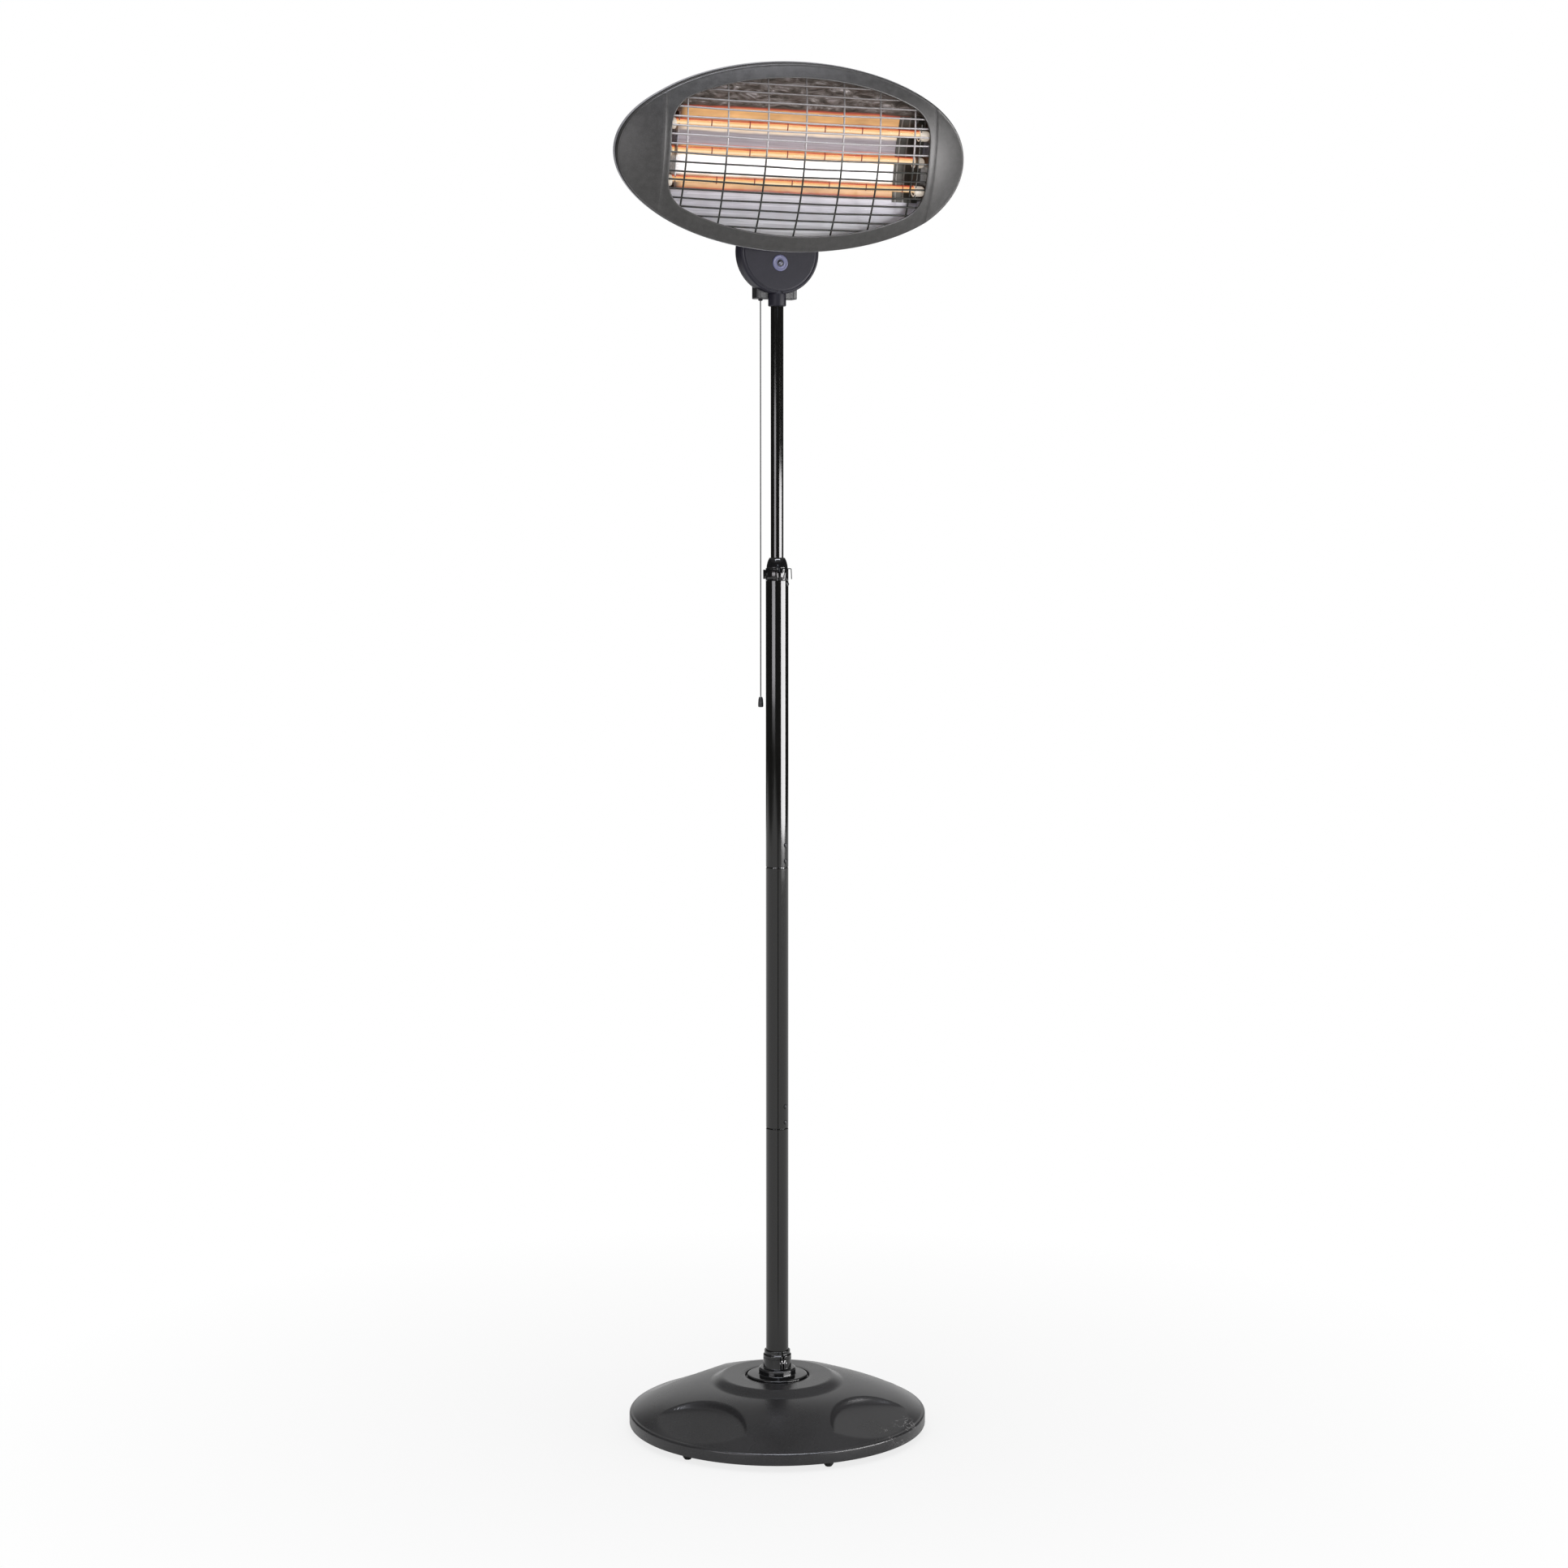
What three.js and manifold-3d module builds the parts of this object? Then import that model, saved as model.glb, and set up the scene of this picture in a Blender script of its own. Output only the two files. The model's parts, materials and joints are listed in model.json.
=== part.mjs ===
// Infrared patio heater tower: an oval lamp head that tilts on a half-round neck,
// a telescopic pole with a flip-lever collar, and a weighted round base.
// Millimetres, +Z up. Origin on the floor, on the pole's axis; the head faces -Y.

import * as THREE from 'three';
import { mergeVertices } from 'three/addons/utils/BufferGeometryUtils.js';
import Module from 'manifold-3d';

const wasm = await Module();
wasm.setup();

// ---------------------------------------------------------------- driving sizes

const FIT = 0.3;              // clearance between pieces that seat on each other

// base
const BASE_R = 225;           // outer radius of the pressed cover
const FOOT_H = 8.7;           // height of a rubber foot
const FOOT_R = 7.8;
const FOOT_INSET = 16;        // the feet's circle inside the cover's edge
const FOOT_COUNT = 6;
const BASE_TURN = 30;         // degrees that the base's pattern is turned
const SHEET = 1.6;            // sheet thickness of cover and pan
const SKIRT_H = 14.5;         // height of the vertical rim
const RIM_ROUND = 4;          // rolled edge above the rim
const DOME_H = 43.5;            // rise of the dome from the rolled edge to the cone
const DOME_R = 101;           // radius where the dome meets the cone
const CONE_H = 9;             // rise of the cone to the flat ring
const RING_R = 84;            // outer radius of the flat ring
const WELL_R = 48.5;          // radius of the well that holds the pole flange
const WELL_D = 4.5;           // its depth
const BASE_FACETS = 32;       // facets round the cover and the pan
const DOME_FACETS = 3;        // facets of the dome from the cone to the rolled edge
const SCALLOP_COUNT = 4;
const SCALLOP_R = 92;         // radius of one pressed scallop
const SCALLOP_INSET = 28;     // circle of the scallops' centres inside the cover's edge
const SCALLOP_D = 8;          // depth of a scallop at its inner edge
const SCALLOP_LOW = 4;        // how far its floor ends above the rim
const SCALLOP_WALL = 8;       // width of the sloping wall round its floor
const SCALLOP_FACETS = 18;
const BALLAST_INSET = 29;     // the ballast's edge inside the cover's edge
const BALLAST_H = 6;
const HUB_R = 34;             // ballast hub that carries the cover's well
const BOLT_R = 5;             // central bolt
const BOLT_HEAD_R = 11;
const BOLT_HEAD_H = 7;
const WASHER_R = 17;
const WASHER_H = 2.5;

// pole socket
const FLANGE_R = 45.5;
const FLANGE_H = 6.5;
const STEP_R = 28;
const STEP_H = 10;
const CLAMP_R = 21.3;
const CLAMP_H = 21;
const LIP_R = 19.6;
const LIP_H = 6;
const SPLIT_TURN = -88;       // direction of the socket's split and its screw
const SPLIT_W = 2.4;
const LUG_W = 8;              // width of the split's two lugs together
const LUG_OUT = 2.6;          // how far the lugs stand out
const CLAMP_SCREW_R = 1.3;
const CLAMP_HEAD_R = 2.4;
const CLAMP_HEAD_H = 1.6;

// outer pole
const POLE_R = 17;
const POLE_WALL = 1.5;
const POLE_CHAMFER = 0.9;
const TUBE_FACETS = 20;       // facets round the pole and the collar
const SLEEVE_FACETS = 16;     // facets of what hides inside the pole
const SEAM_LOW = 461;         // height of the lower joint
const SEAM_HIGH = 857;        // height of the upper joint
const POLE_TOP = 1286;        // height of the top of the outer pole
const SLEEVE_WALL = 2.2;
const SLEEVE_UP = 50;         // how far a joint sleeve reaches into the tube above
const SLEEVE_DOWN = 70;       // how far it reaches into the tube below
const SCREW_TURN = -63;       // direction of the joint screws
const SCREW_LOW = 10;         // height of a joint's lower screw above the seam
const SCREW_STEP = 24;        // distance between a joint's two screws
const SCREW_HEAD_R = 3.4;
const SCREW_HEAD_H = 2.2;
const SCREW_SHANK_R = 1.9;

// inner pole
const MAST_R = 9.5;
const MAST_WALL = 1.4;
const BUSH_H = 30;            // slide bush at that end
const BUSH_LIP = 3;           // flange of the bush under the tube's end

// collar
const COLLAR_SPIGOT = 30;     // length inside the outer pole
const COLLAR_CORE_R = 13.4;
const BAND_H = 18.2;          // height of the clamp band
const DOME_BASE_R = 15.8;
const DOME_TOP_R = 10.9;
const DOME_RISE = 15.6;
const COLLAR_TURN = -111;     // direction of the lever's hinge
const LEVER_ARC = 82;         // degrees from the hinge to the lever's thumb tab
const TAB_OUT = 4;            // how far the thumb tab stands out
const PIN_R = 0.9;
const KNUCKLE_R = 2.1;
const EAR_LEAF = 2;           // height of the hinge's upper and lower ear
const HOOK_TURN = -22;        // direction of the hook on the collar's other side
const HOOK_OUT = 4.6;
const HOOK_THICK = 1.3;
const STOP_TURN = -51;        // stop screw under the collar
const STOP_DROP = 5;

// neck housing
const NECK_R = 61.5;
const NECK_HALF = 13;         // half of its thickness
const NECK_ROUND = 2;         // rounding of its outer edges
const NECK_FACETS = 13;
const NECK_UP = 68;           // its round outline's centre above the switch box's foot
const NECK_TOP = 30;          // flat top above that centre
const SOCKET_R = 13.2;        // socket that takes the inner pole
const SOCKET_DROP = 11;       // its foot below the switch box's foot
const SOCKET_DEEP = 27;       // depth of the bore for the inner pole
const SOCKET_SCREW_UP = 5;    // clamping screw above the socket's foot
const BOX_HALF = 32;          // half width of the switch box
const BOX_BACK = 21;          // how far the box reaches behind the pole's axis
const BOX_FOOT = 1701;        // height of the box's foot, from which the neck is placed
const BOX_H = 47;
const EAR_IN = 8.8;           // inner face of a tilt ear
const EAR_T = 6;
const EAR_R = 11;
const PIVOT_UP = 49;          // tilt axis above the round outline's centre
const BADGE_R = 11.8;
const BADGE_T = 1.6;
const BADGE_DROP = 16.5;      // badge centre below the outline's centre
const BADGE_HOLE_R = 4.9;
const TILT_BOLT_R = 4;
const KNOB_R = 13;
const KNOB_T = 14;
const KNOB_LOBES = 6;
const CORD_X = -22;           // where the pull cord leaves the box
const CORD_Y = 11;
const CORD_R = 0.9;
const GUIDE_R = 3.4;
const GUIDE_H = 2.5;
const PULL_LENGTH = 588;      // free length of the pull cord
const PULL_R = 3.9;
const PULL_H = 15.4;

// head
const TILT_REST = 14;         // degrees that the face looks down at rest
const APEX_AHEAD = 97.8;      // tilt axis to the face's foremost point
const APEX_ABOVE = 95.5;
const FACE_A = 269;           // half width of the oval face
const FACE_B = 134;           // half height
const BOW_X = 1100;           // radius of the face's curve from side to side
const BOW_Z = 300;            // radius of its curve from top to bottom
const END_ZONE = 60;          // width of the end zone outside each crease
const END_SLOPE = 0.38;       // slope of the end zones at the crease
const TIP_SWEEP = 49;         // how far the oval's tips lie behind the middle
const FACE_T = 2;             // thickness of the face
const FLANGE_D = 14;          // depth of its rim
const OVAL_TURNS = 32;        // facets round the oval
const FACETS_X = 6;           // facets of the face between the creases
const FACETS_END = 2;         // facets of an end zone
const FACETS_Z = 8;           // facets from bottom to top
const WINDOW_END = 26;        // the window's oval inside the face's oval, at its ends
const WINDOW_EDGE = 21;       // and at its top and bottom
const WINDOW_CUT = 9;         // its straight side inside the crease
const WINDOW_ROUND = 50;      // radius of its corners
const WINDOW_RISE = 2;        // window centre above the face's centre
const ARC_STEPS = 12;         // facets of the window's upper or lower arc
const CORNER_STEPS = 3;       // facets of its corner
const SIDE_STEPS = 2;         // facets of half its straight side
const WIRE_R = 1.15;
const WIRE_GAP = 0.1;         // gap between crossing wires, which the hoop joins
const WIRE_SIDES = 4;
const ROWS = 17;
const ROW_PITCH = 12.7;
const COLUMNS = 7;
const COLUMN_PITCH = 58.5;
const GRILLE_LAP = 9;         // how far the grille reaches behind the window's edge
const HOOP_W = 3;             // width of the strip that joins the wires
const SHELL_T = 1.6;
const SHELL_LAP = 5;          // overlap of the rear shell and the face's rim
const SHELL_WALL = 2;         // straight wall of the shell behind that rim
const SHELL_DEPTH = 78;       // depth of the dome behind the face's foremost point
const PAD_DEPTH = 74;         // depth of the flat on its back
const VENT_COUNT = 7;
const VENT_PITCH = 26;
const VENT_W = 5;
const VENT_H = 30;
const VENT_Z = 52;
const REFLECTOR_T = 1.2;
const REFLECTOR_DEEP = 56;    // depth of the trough's middle
const REFLECTOR_EDGE = 37;    // depth of its upper and lower edge
const REFLECTOR_HALF = 118;   // half of its opening
const LAMP_R = 5.5;
const LAMP_SHORT = 23;        // end of the glass inside the window's straight side
const LAMP_PITCH = 40;
const LAMP_RISE = 4;          // middle lamp above the face's centre
const LAMP_DEEP = 44;         // depth of the middle lamp
const LAMP_STEP = 10;         // how much nearer the outer lamps lie
const CAP_R = 6.6;
const CAP_L = 18;
const HOLDER_SHOWS = 40;      // how much of a lamp holder's plate shows in the window
const HOLDER_HIDES = 3;       // how much of it lies behind the face
const HOLDER_T = 1.5;
const ARM_T = 3;              // tilt bracket
const BRACKET_HALF = 28;
const BRACKET_TOP = -8;
const BRACKET_FOOT = -50;
const BRACKET_SCREW_X = 20;
const BRACKET_SCREW_Z = -29;
const GLAND_R = 8;
const GLAND_L = 14;

// ---------------------------------------------------------------- worked-out places

const FOOT_RING = BASE_R - FOOT_INSET;
const SCALLOP_RING = BASE_R - SCALLOP_INSET;
const BALLAST_R = BASE_R - BALLAST_INSET;
const SOCKET_FOOT = BOX_FOOT - SOCKET_DROP;
const BOX_TOP = BOX_FOOT + BOX_H;
const NECK_Z = BOX_FOOT + NECK_UP;
const PIVOT_Z = NECK_Z + PIVOT_UP;
const CREASE = FACE_A - END_ZONE;
const WINDOW_A = FACE_A - WINDOW_END;
const WINDOW_B = FACE_B - WINDOW_EDGE;
const WINDOW_SIDE = CREASE - WINDOW_CUT;
const LAMP_HALF = WINDOW_SIDE - LAMP_SHORT;
const HOLDER_IN = WINDOW_SIDE - HOLDER_SHOWS;
const HOLDER_OUT = WINDOW_SIDE + HOLDER_HIDES;

// ---------------------------------------------------------------- materials

const paint = (color, roughness, metalness) =>
  new THREE.MeshStandardMaterial({ color, roughness, metalness });
const LOOK = {
  black: paint(0x17171a, 0.38, 0.25),
  gloss: paint(0x0d0d0f, 0.18, 0.3),
  grey: paint(0x4a494c, 0.5, 0.55),
  shell: paint(0x8b8b8f, 0.42, 0.7),
  neck: paint(0x2d2b36, 0.55, 0.05),
  badge: paint(0x7476a0, 0.45, 0.1),
  steel: paint(0xb9bbc0, 0.3, 0.95),
  mirror: paint(0xcfcfd6, 0.16, 1),
  glass: paint(0xffc57d, 0.2, 0),
  ceramic: paint(0xd9c8a2, 0.7, 0),
  rubber: paint(0x141414, 0.9, 0),
  iron: paint(0x3c3b3a, 0.85, 0.4),
  cord: paint(0x3a3a3d, 0.8, 0),
};

// ---------------------------------------------------------------- solid tools

const rad = (d) => (d * Math.PI) / 180;
const polar = (r, d) => [r * Math.cos(rad(d)), r * Math.sin(rad(d))];

// A closed three.js geometry as a solid, with its faces turned outward.
function solid(geometry) {
  const bare = geometry.clone();
  for (const name of Object.keys(bare.attributes)) {
    if (name !== 'position') bare.deleteAttribute(name);
  }
  const merged = mergeVertices(bare, 1e-4);
  const at = merged.attributes.position.array;
  const index = merged.index.array;
  const tris = [];
  let volume = 0;
  for (let i = 0; i < index.length; i += 3) {
    const [a, b, c] = [index[i], index[i + 1], index[i + 2]];
    if (a === b || b === c || c === a) continue;
    tris.push(a, b, c);
    const [ax, ay, az] = at.slice(3 * a, 3 * a + 3);
    const [bx, by, bz] = at.slice(3 * b, 3 * b + 3);
    const [cx, cy, cz] = at.slice(3 * c, 3 * c + 3);
    volume += ax * (by * cz - bz * cy) - ay * (bx * cz - bz * cx) + az * (bx * cy - by * cx);
  }
  if (volume < 0) {
    for (let i = 0; i < tris.length; i += 3) [tris[i], tris[i + 1]] = [tris[i + 1], tris[i]];
  }
  return new wasm.Manifold(new wasm.Mesh({
    numProp: 3,
    vertProperties: new Float32Array(at),
    triVerts: new Uint32Array(tris),
  }));
}

function geometryOf(body) {
  const mesh = body.getMesh();
  const geometry = new THREE.BufferGeometry();
  geometry.setAttribute('position', new THREE.BufferAttribute(mesh.vertProperties, 3));
  geometry.setIndex(new THREE.BufferAttribute(mesh.triVerts, 1));
  geometry.computeVertexNormals();
  return geometry;
}

const union = (bodies) => bodies.reduce((sum, body) => sum.add(body));

// A profile of [radius, height] pairs turned about Z; it closes on itself.
function turned(profile, segments = 32) {
  const points = [...profile, profile[0]].map(([r, z]) => new THREE.Vector2(r, z));
  return solid(new THREE.LatheGeometry(points, segments).rotateX(Math.PI / 2));
}

function rod(radius, from, to, segments = 24) {
  return turned([[0, from], [radius, from], [radius, to], [0, to]], segments);
}

function pipe(inner, outer, from, to, segments = 32) {
  return turned([[inner, from], [outer, from], [outer, to], [inner, to]], segments);
}

// A solid lying along Z, laid along +X or along -Y, or pointed outward at an angle.
const alongX = (body) => body.rotate([0, 90, 0]);
const alongFront = (body) => body.rotate([90, 0, 0]);
const outward = (body, degrees) => alongX(body).rotate([0, 0, degrees]);

function shapeOf(points) {
  return new THREE.Shape(points.map(([x, y]) => new THREE.Vector2(x, y)));
}

// A shape drawn in X and Z, extruded from y = from to y = to.
function slabY(shape, from, to, steps = 24) {
  const geometry = new THREE.ExtrudeGeometry(shape, {
    depth: to - from, bevelEnabled: false, curveSegments: steps,
  });
  return solid(geometry.rotateX(Math.PI / 2).translate(0, to, 0));
}

// A shape drawn in Y and Z, extruded from x = from to x = to.
function slabX(shape, from, to, steps = 24) {
  const geometry = new THREE.ExtrudeGeometry(shape, {
    depth: to - from, bevelEnabled: false, curveSegments: steps,
  });
  return solid(geometry.rotateZ(Math.PI / 2).rotateY(Math.PI / 2).translate(from, 0, 0));
}

// A shape drawn in X and Y, extruded from z = from to z = to.
function slabZ(shape, from, to, steps = 24) {
  const geometry = new THREE.ExtrudeGeometry(shape, {
    depth: to - from, bevelEnabled: false, curveSegments: steps,
  });
  return solid(geometry.translate(0, 0, from));
}

function block(x0, x1, y0, y1, z0, z1) {
  const geometry = new THREE.BoxGeometry(x1 - x0, y1 - y0, z1 - z0);
  return solid(geometry.translate((x0 + x1) / 2, (y0 + y1) / 2, (z0 + z1) / 2));
}

// An oval of OVAL_TURNS points, so that nested ovals have matching facets.
function ellipse(a, b, z = 0) {
  const points = [];
  for (let i = 0; i < OVAL_TURNS; i++) {
    const [c, s] = polar(1, (360 * i) / OVAL_TURNS);
    points.push([a * c, z + b * s]);
  }
  return shapeOf(points);
}

// A ring sector between two radii and two directions.
function sector(inner, outer, from, to) {
  const shape = new THREE.Shape();
  shape.absarc(0, 0, outer, rad(from), rad(to), false);
  shape.absarc(0, 0, inner, rad(to), rad(from), true);
  return shape;
}

// Pan-head screw along +Z: the head's seat is at z = 0 and the shank points down.
function screw(headR, headH, shankR, length) {
  return turned([
    [0, -length], [shankR, -length], [shankR, 0], [headR, 0], [headR * 0.7, headH], [0, headH],
  ], 6);
}

// ---------------------------------------------------------------- the assembly

const heater = new THREE.Group();
const head = new THREE.Group();
head.position.set(0, 0, PIVOT_Z);
head.rotation.x = rad(TILT_REST);
const face = new THREE.Group();
face.position.set(0, -APEX_AHEAD, APEX_ABOVE);
head.add(face);
heater.add(head);

function place(name, body, look, group = heater) {
  const mesh = new THREE.Mesh(geometryOf(body), LOOK[look]);
  mesh.name = name;
  group.add(mesh);
  return mesh;
}

// ---------------------------------------------------------------- base

const PAN_Z = FOOT_H + FIT;
const RIM_TOP = PAN_Z + SKIRT_H;
const CONE_FOOT_Z = RIM_TOP + RIM_ROUND + DOME_H;
const RING_Z = CONE_FOOT_Z + CONE_H;
const WELL_Z = RING_Z - WELL_D;

// The dome's height at a radius: a quarter wave flattened toward the cone.
function domeZ(r) {
  const edge = BASE_R - RIM_ROUND;
  const t = (edge - r) / (edge - DOME_R);
  return RIM_TOP + RIM_ROUND + DOME_H * (1.32 * t - 0.32 * t * t);
}

// The cover's outline from its middle to its rim; the inside of the sheet is plainer.
function coverProfile(inset) {
  const outside = inset === 0;
  const lean = inset * 0.3;
  const profile = [[0, WELL_Z - inset], [WELL_R + inset, WELL_Z - inset]];
  if (outside) profile.push([WELL_R, RING_Z - 1], [WELL_R + 1.5, RING_Z]);
  else profile.push([WELL_R + inset, RING_Z - inset]);
  profile.push([RING_R - lean, RING_Z - inset]);
  if (outside) profile.push([DOME_R - 3, CONE_FOOT_Z + 0.9]);
  for (let i = 0; i <= DOME_FACETS; i++) {
    const r = DOME_R + ((BASE_R - RIM_ROUND - DOME_R) * i) / DOME_FACETS;
    profile.push([r - lean, domeZ(r) - inset]);
  }
  for (const d of outside ? [50, 0] : [0]) {
    const [dx, dz] = polar(RIM_ROUND - inset, d);
    profile.push([BASE_R - RIM_ROUND + dx, RIM_TOP + dz]);
  }
  const foot = PAN_Z - (outside ? 0 : SHEET);
  profile.push([BASE_R - inset, foot], [0, foot]);
  return profile;
}

// One scallop's cutter: a flat-floored cone frustum tilted with the dome.
function scallop(inset) {
  const inner = SCALLOP_RING - SCALLOP_R;
  const innerZ = domeZ(Math.max(inner, DOME_R)) - SCALLOP_D;
  const outerZ = RIM_TOP + SCALLOP_LOW;
  const run = BASE_R - RIM_ROUND - inner;
  const tilt = (Math.atan2(innerZ - outerZ, run) * 180) / Math.PI;
  const floor = innerZ - ((SCALLOP_RING - inner) * (innerZ - outerZ)) / run;
  const radius = SCALLOP_R + inset * 0.6;
  const tool = turned([
    [0, -inset], [radius - SCALLOP_WALL * 0.75, -inset], [radius - SCALLOP_WALL * 0.25, 3 - inset],
    [radius + SCALLOP_WALL * 0.75, SCALLOP_D + 4 - inset], [radius + SCALLOP_WALL * 0.75, DOME_H],
    [0, DOME_H],
  ], SCALLOP_FACETS);
  return tool.rotate([0, tilt, 0]).translate([SCALLOP_RING, 0, floor]);
}

function scallops(inset) {
  const one = scallop(inset);
  const all = [];
  for (let i = 0; i < SCALLOP_COUNT; i++) {
    all.push(one.rotate([0, 0, BASE_TURN + (360 * i) / SCALLOP_COUNT]));
  }
  return union(all);
}

const coverOuter = turned(coverProfile(0), BASE_FACETS).subtract(scallops(0));
const coverInner = turned(coverProfile(SHEET), BASE_FACETS).subtract(scallops(SHEET));
const boltHole = rod(BOLT_R + FIT, 0, RING_Z, 12);
place('base_cover', coverOuter.subtract(coverInner).subtract(boltHole), 'black');

const panR = BASE_R - SHEET - FIT;
place('base_pan', pipe(WASHER_R + FIT, panR, PAN_Z, PAN_Z + SHEET, BASE_FACETS), 'black');

const ballastFoot = PAN_Z + SHEET + FIT;
const ballastTop = ballastFoot + BALLAST_H;
const hubTop = WELL_Z - SHEET - FIT;
const headPocket = ballastFoot + BOLT_HEAD_H + WASHER_H + FIT;
place('base_ballast', turned([
  [BOLT_R + FIT, headPocket], [WASHER_R + FIT, headPocket], [WASHER_R + FIT, ballastFoot],
  [BALLAST_R, ballastFoot], [BALLAST_R, ballastTop], [HUB_R + 6, ballastTop + 4],
  [HUB_R, hubTop], [BOLT_R + FIT, hubTop],
], 20), 'iron');

for (let i = 0; i < FOOT_COUNT; i++) {
  const [x, y] = polar(FOOT_RING, BASE_TURN + (360 * i) / FOOT_COUNT);
  const foot = turned([
    [0, 0], [FOOT_R * 0.6, 0], [FOOT_R, FOOT_H * 0.5], [FOOT_R, FOOT_H], [0, FOOT_H],
  ], 8);
  place(`foot_${i + 1}`, foot.translate([x, y, 0]), 'rubber');
}

// ---------------------------------------------------------------- pole socket

const flangeZ = WELL_Z + FIT;
const stepZ = flangeZ + FLANGE_H;
const clampZ = stepZ + STEP_H;
const lipZ = clampZ + CLAMP_H;
const tubeFoot = stepZ + FIT;
const socketBody = turned([
  [BOLT_R + FIT, flangeZ], [FLANGE_R, flangeZ], [FLANGE_R, stepZ - 1.8], [FLANGE_R - 2, stepZ],
  [STEP_R, stepZ], [STEP_R, clampZ - 2], [STEP_R - 2, clampZ],
  [CLAMP_R, clampZ], [CLAMP_R, lipZ], [LIP_R, lipZ + 0.8], [LIP_R, lipZ + LIP_H],
  [POLE_R + FIT, lipZ + LIP_H], [POLE_R + FIT, stepZ], [BOLT_R + FIT, stepZ],
], TUBE_FACETS);
const lugs = block(POLE_R + 1, CLAMP_R + LUG_OUT, -LUG_W / 2, LUG_W / 2, clampZ + 1, lipZ - 1);
const split = block(POLE_R - 2, CLAMP_R + LUG_OUT + 1, -SPLIT_W / 2, SPLIT_W / 2,
  clampZ + 1.5, lipZ + LIP_H + 1);
const lugHoleZ = (clampZ + lipZ) / 2;
const lugX = CLAMP_R + LUG_OUT / 2 - 0.6;
const lugHole = rod(CLAMP_SCREW_R + FIT, -LUG_W, LUG_W, 8)
  .add(rod(CLAMP_HEAD_R + FIT, LUG_W / 2, LUG_W, 10))
  .rotate([-90, 0, 0]).translate([lugX, 0, lugHoleZ]);
place('pole_socket', socketBody.add(lugs.rotate([0, 0, SPLIT_TURN]))
  .subtract(split.rotate([0, 0, SPLIT_TURN]))
  .subtract(lugHole.rotate([0, 0, SPLIT_TURN])), 'gloss');
const clampScrew = screw(CLAMP_HEAD_R, CLAMP_HEAD_H, CLAMP_SCREW_R, LUG_W + 1.4).rotate([-90, 0, 0])
  .translate([lugX, LUG_W / 2 + FIT, lugHoleZ]).rotate([0, 0, SPLIT_TURN]);
place('clamp_screw', clampScrew, 'steel');

const washerZ = headPocket - FIT - WASHER_H;
place('base_washer', pipe(BOLT_R + FIT, WASHER_R, washerZ, washerZ + WASHER_H, 14), 'steel');
const boltHeadZ = washerZ - FIT - BOLT_HEAD_H;
place('base_bolt', rod(BOLT_R, washerZ - FIT - 1, stepZ - FIT, 12)
  .add(rod(BOLT_HEAD_R, boltHeadZ, washerZ - FIT, 6)), 'steel');

// ---------------------------------------------------------------- outer pole

const POLE_BORE = POLE_R - POLE_WALL;
const screwHeights = [SEAM_LOW, SEAM_HIGH]
  .flatMap((seam) => [seam + SCREW_LOW, seam + SCREW_LOW + SCREW_STEP]);
const stopZ = POLE_TOP - STOP_DROP;

function radialHole(z, degrees, radius) {
  const hole = rod(radius, POLE_R - 9, POLE_R + 4, 8);
  return outward(hole, degrees).translate([0, 0, z]);
}

function tube(from, to, chamferFoot, chamferTop) {
  const profile = [[POLE_BORE, from]];
  if (chamferFoot) profile.push([POLE_R - POLE_CHAMFER, from], [POLE_R, from + POLE_CHAMFER]);
  else profile.push([POLE_R, from]);
  if (chamferTop) profile.push([POLE_R, to - POLE_CHAMFER], [POLE_R - POLE_CHAMFER, to]);
  else profile.push([POLE_R, to]);
  profile.push([POLE_BORE, to]);
  return turned(profile, TUBE_FACETS);
}

function drilled(body, from, to) {
  let result = body;
  for (const z of screwHeights) {
    if (z > from && z < to) {
      result = result.subtract(radialHole(z, SCREW_TURN, SCREW_SHANK_R + FIT));
    }
  }
  if (stopZ > from && stopZ < to) {
    result = result.subtract(radialHole(stopZ, STOP_TURN, SCREW_SHANK_R + FIT));
  }
  return result;
}

function poleTube(name, from, to, chamferFoot, chamferTop) {
  place(name, drilled(tube(from, to, chamferFoot, chamferTop), from, to), 'gloss');
}

poleTube('tube_lower', tubeFoot, SEAM_LOW - FIT / 2, false, true);
poleTube('tube_middle', SEAM_LOW + FIT / 2, SEAM_HIGH - FIT / 2, true, true);
poleTube('tube_upper', SEAM_HIGH + FIT / 2, POLE_TOP, true, false);

const sleeveR = POLE_BORE - FIT;
for (const [name, seam] of [['sleeve_lower', SEAM_LOW], ['sleeve_upper', SEAM_HIGH]]) {
  const [from, to] = [seam - SLEEVE_DOWN, seam + SLEEVE_UP];
  place(name, drilled(pipe(sleeveR - SLEEVE_WALL, sleeveR, from, to, SLEEVE_FACETS), from, to), 'steel');
}

function radialScrew(z, degrees, length) {
  const body = screw(SCREW_HEAD_R, SCREW_HEAD_H, SCREW_SHANK_R, length);
  return outward(body.translate([0, 0, POLE_R + FIT]), degrees).translate([0, 0, z]);
}

screwHeights.forEach((z, i) => {
  place(`joint_screw_${i + 1}`, radialScrew(z, SCREW_TURN, POLE_WALL + SLEEVE_WALL + 1), 'black');
});
place('stop_screw', radialScrew(stopZ, STOP_TURN, POLE_WALL + 1.2), 'black');

// ---------------------------------------------------------------- collar

const bandZ = POLE_TOP + FIT;
const bandTop = bandZ + BAND_H;
const domeTop = bandTop + DOME_RISE;
const spigotR = POLE_BORE - FIT;
const mastBore = MAST_R + FIT;

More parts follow.
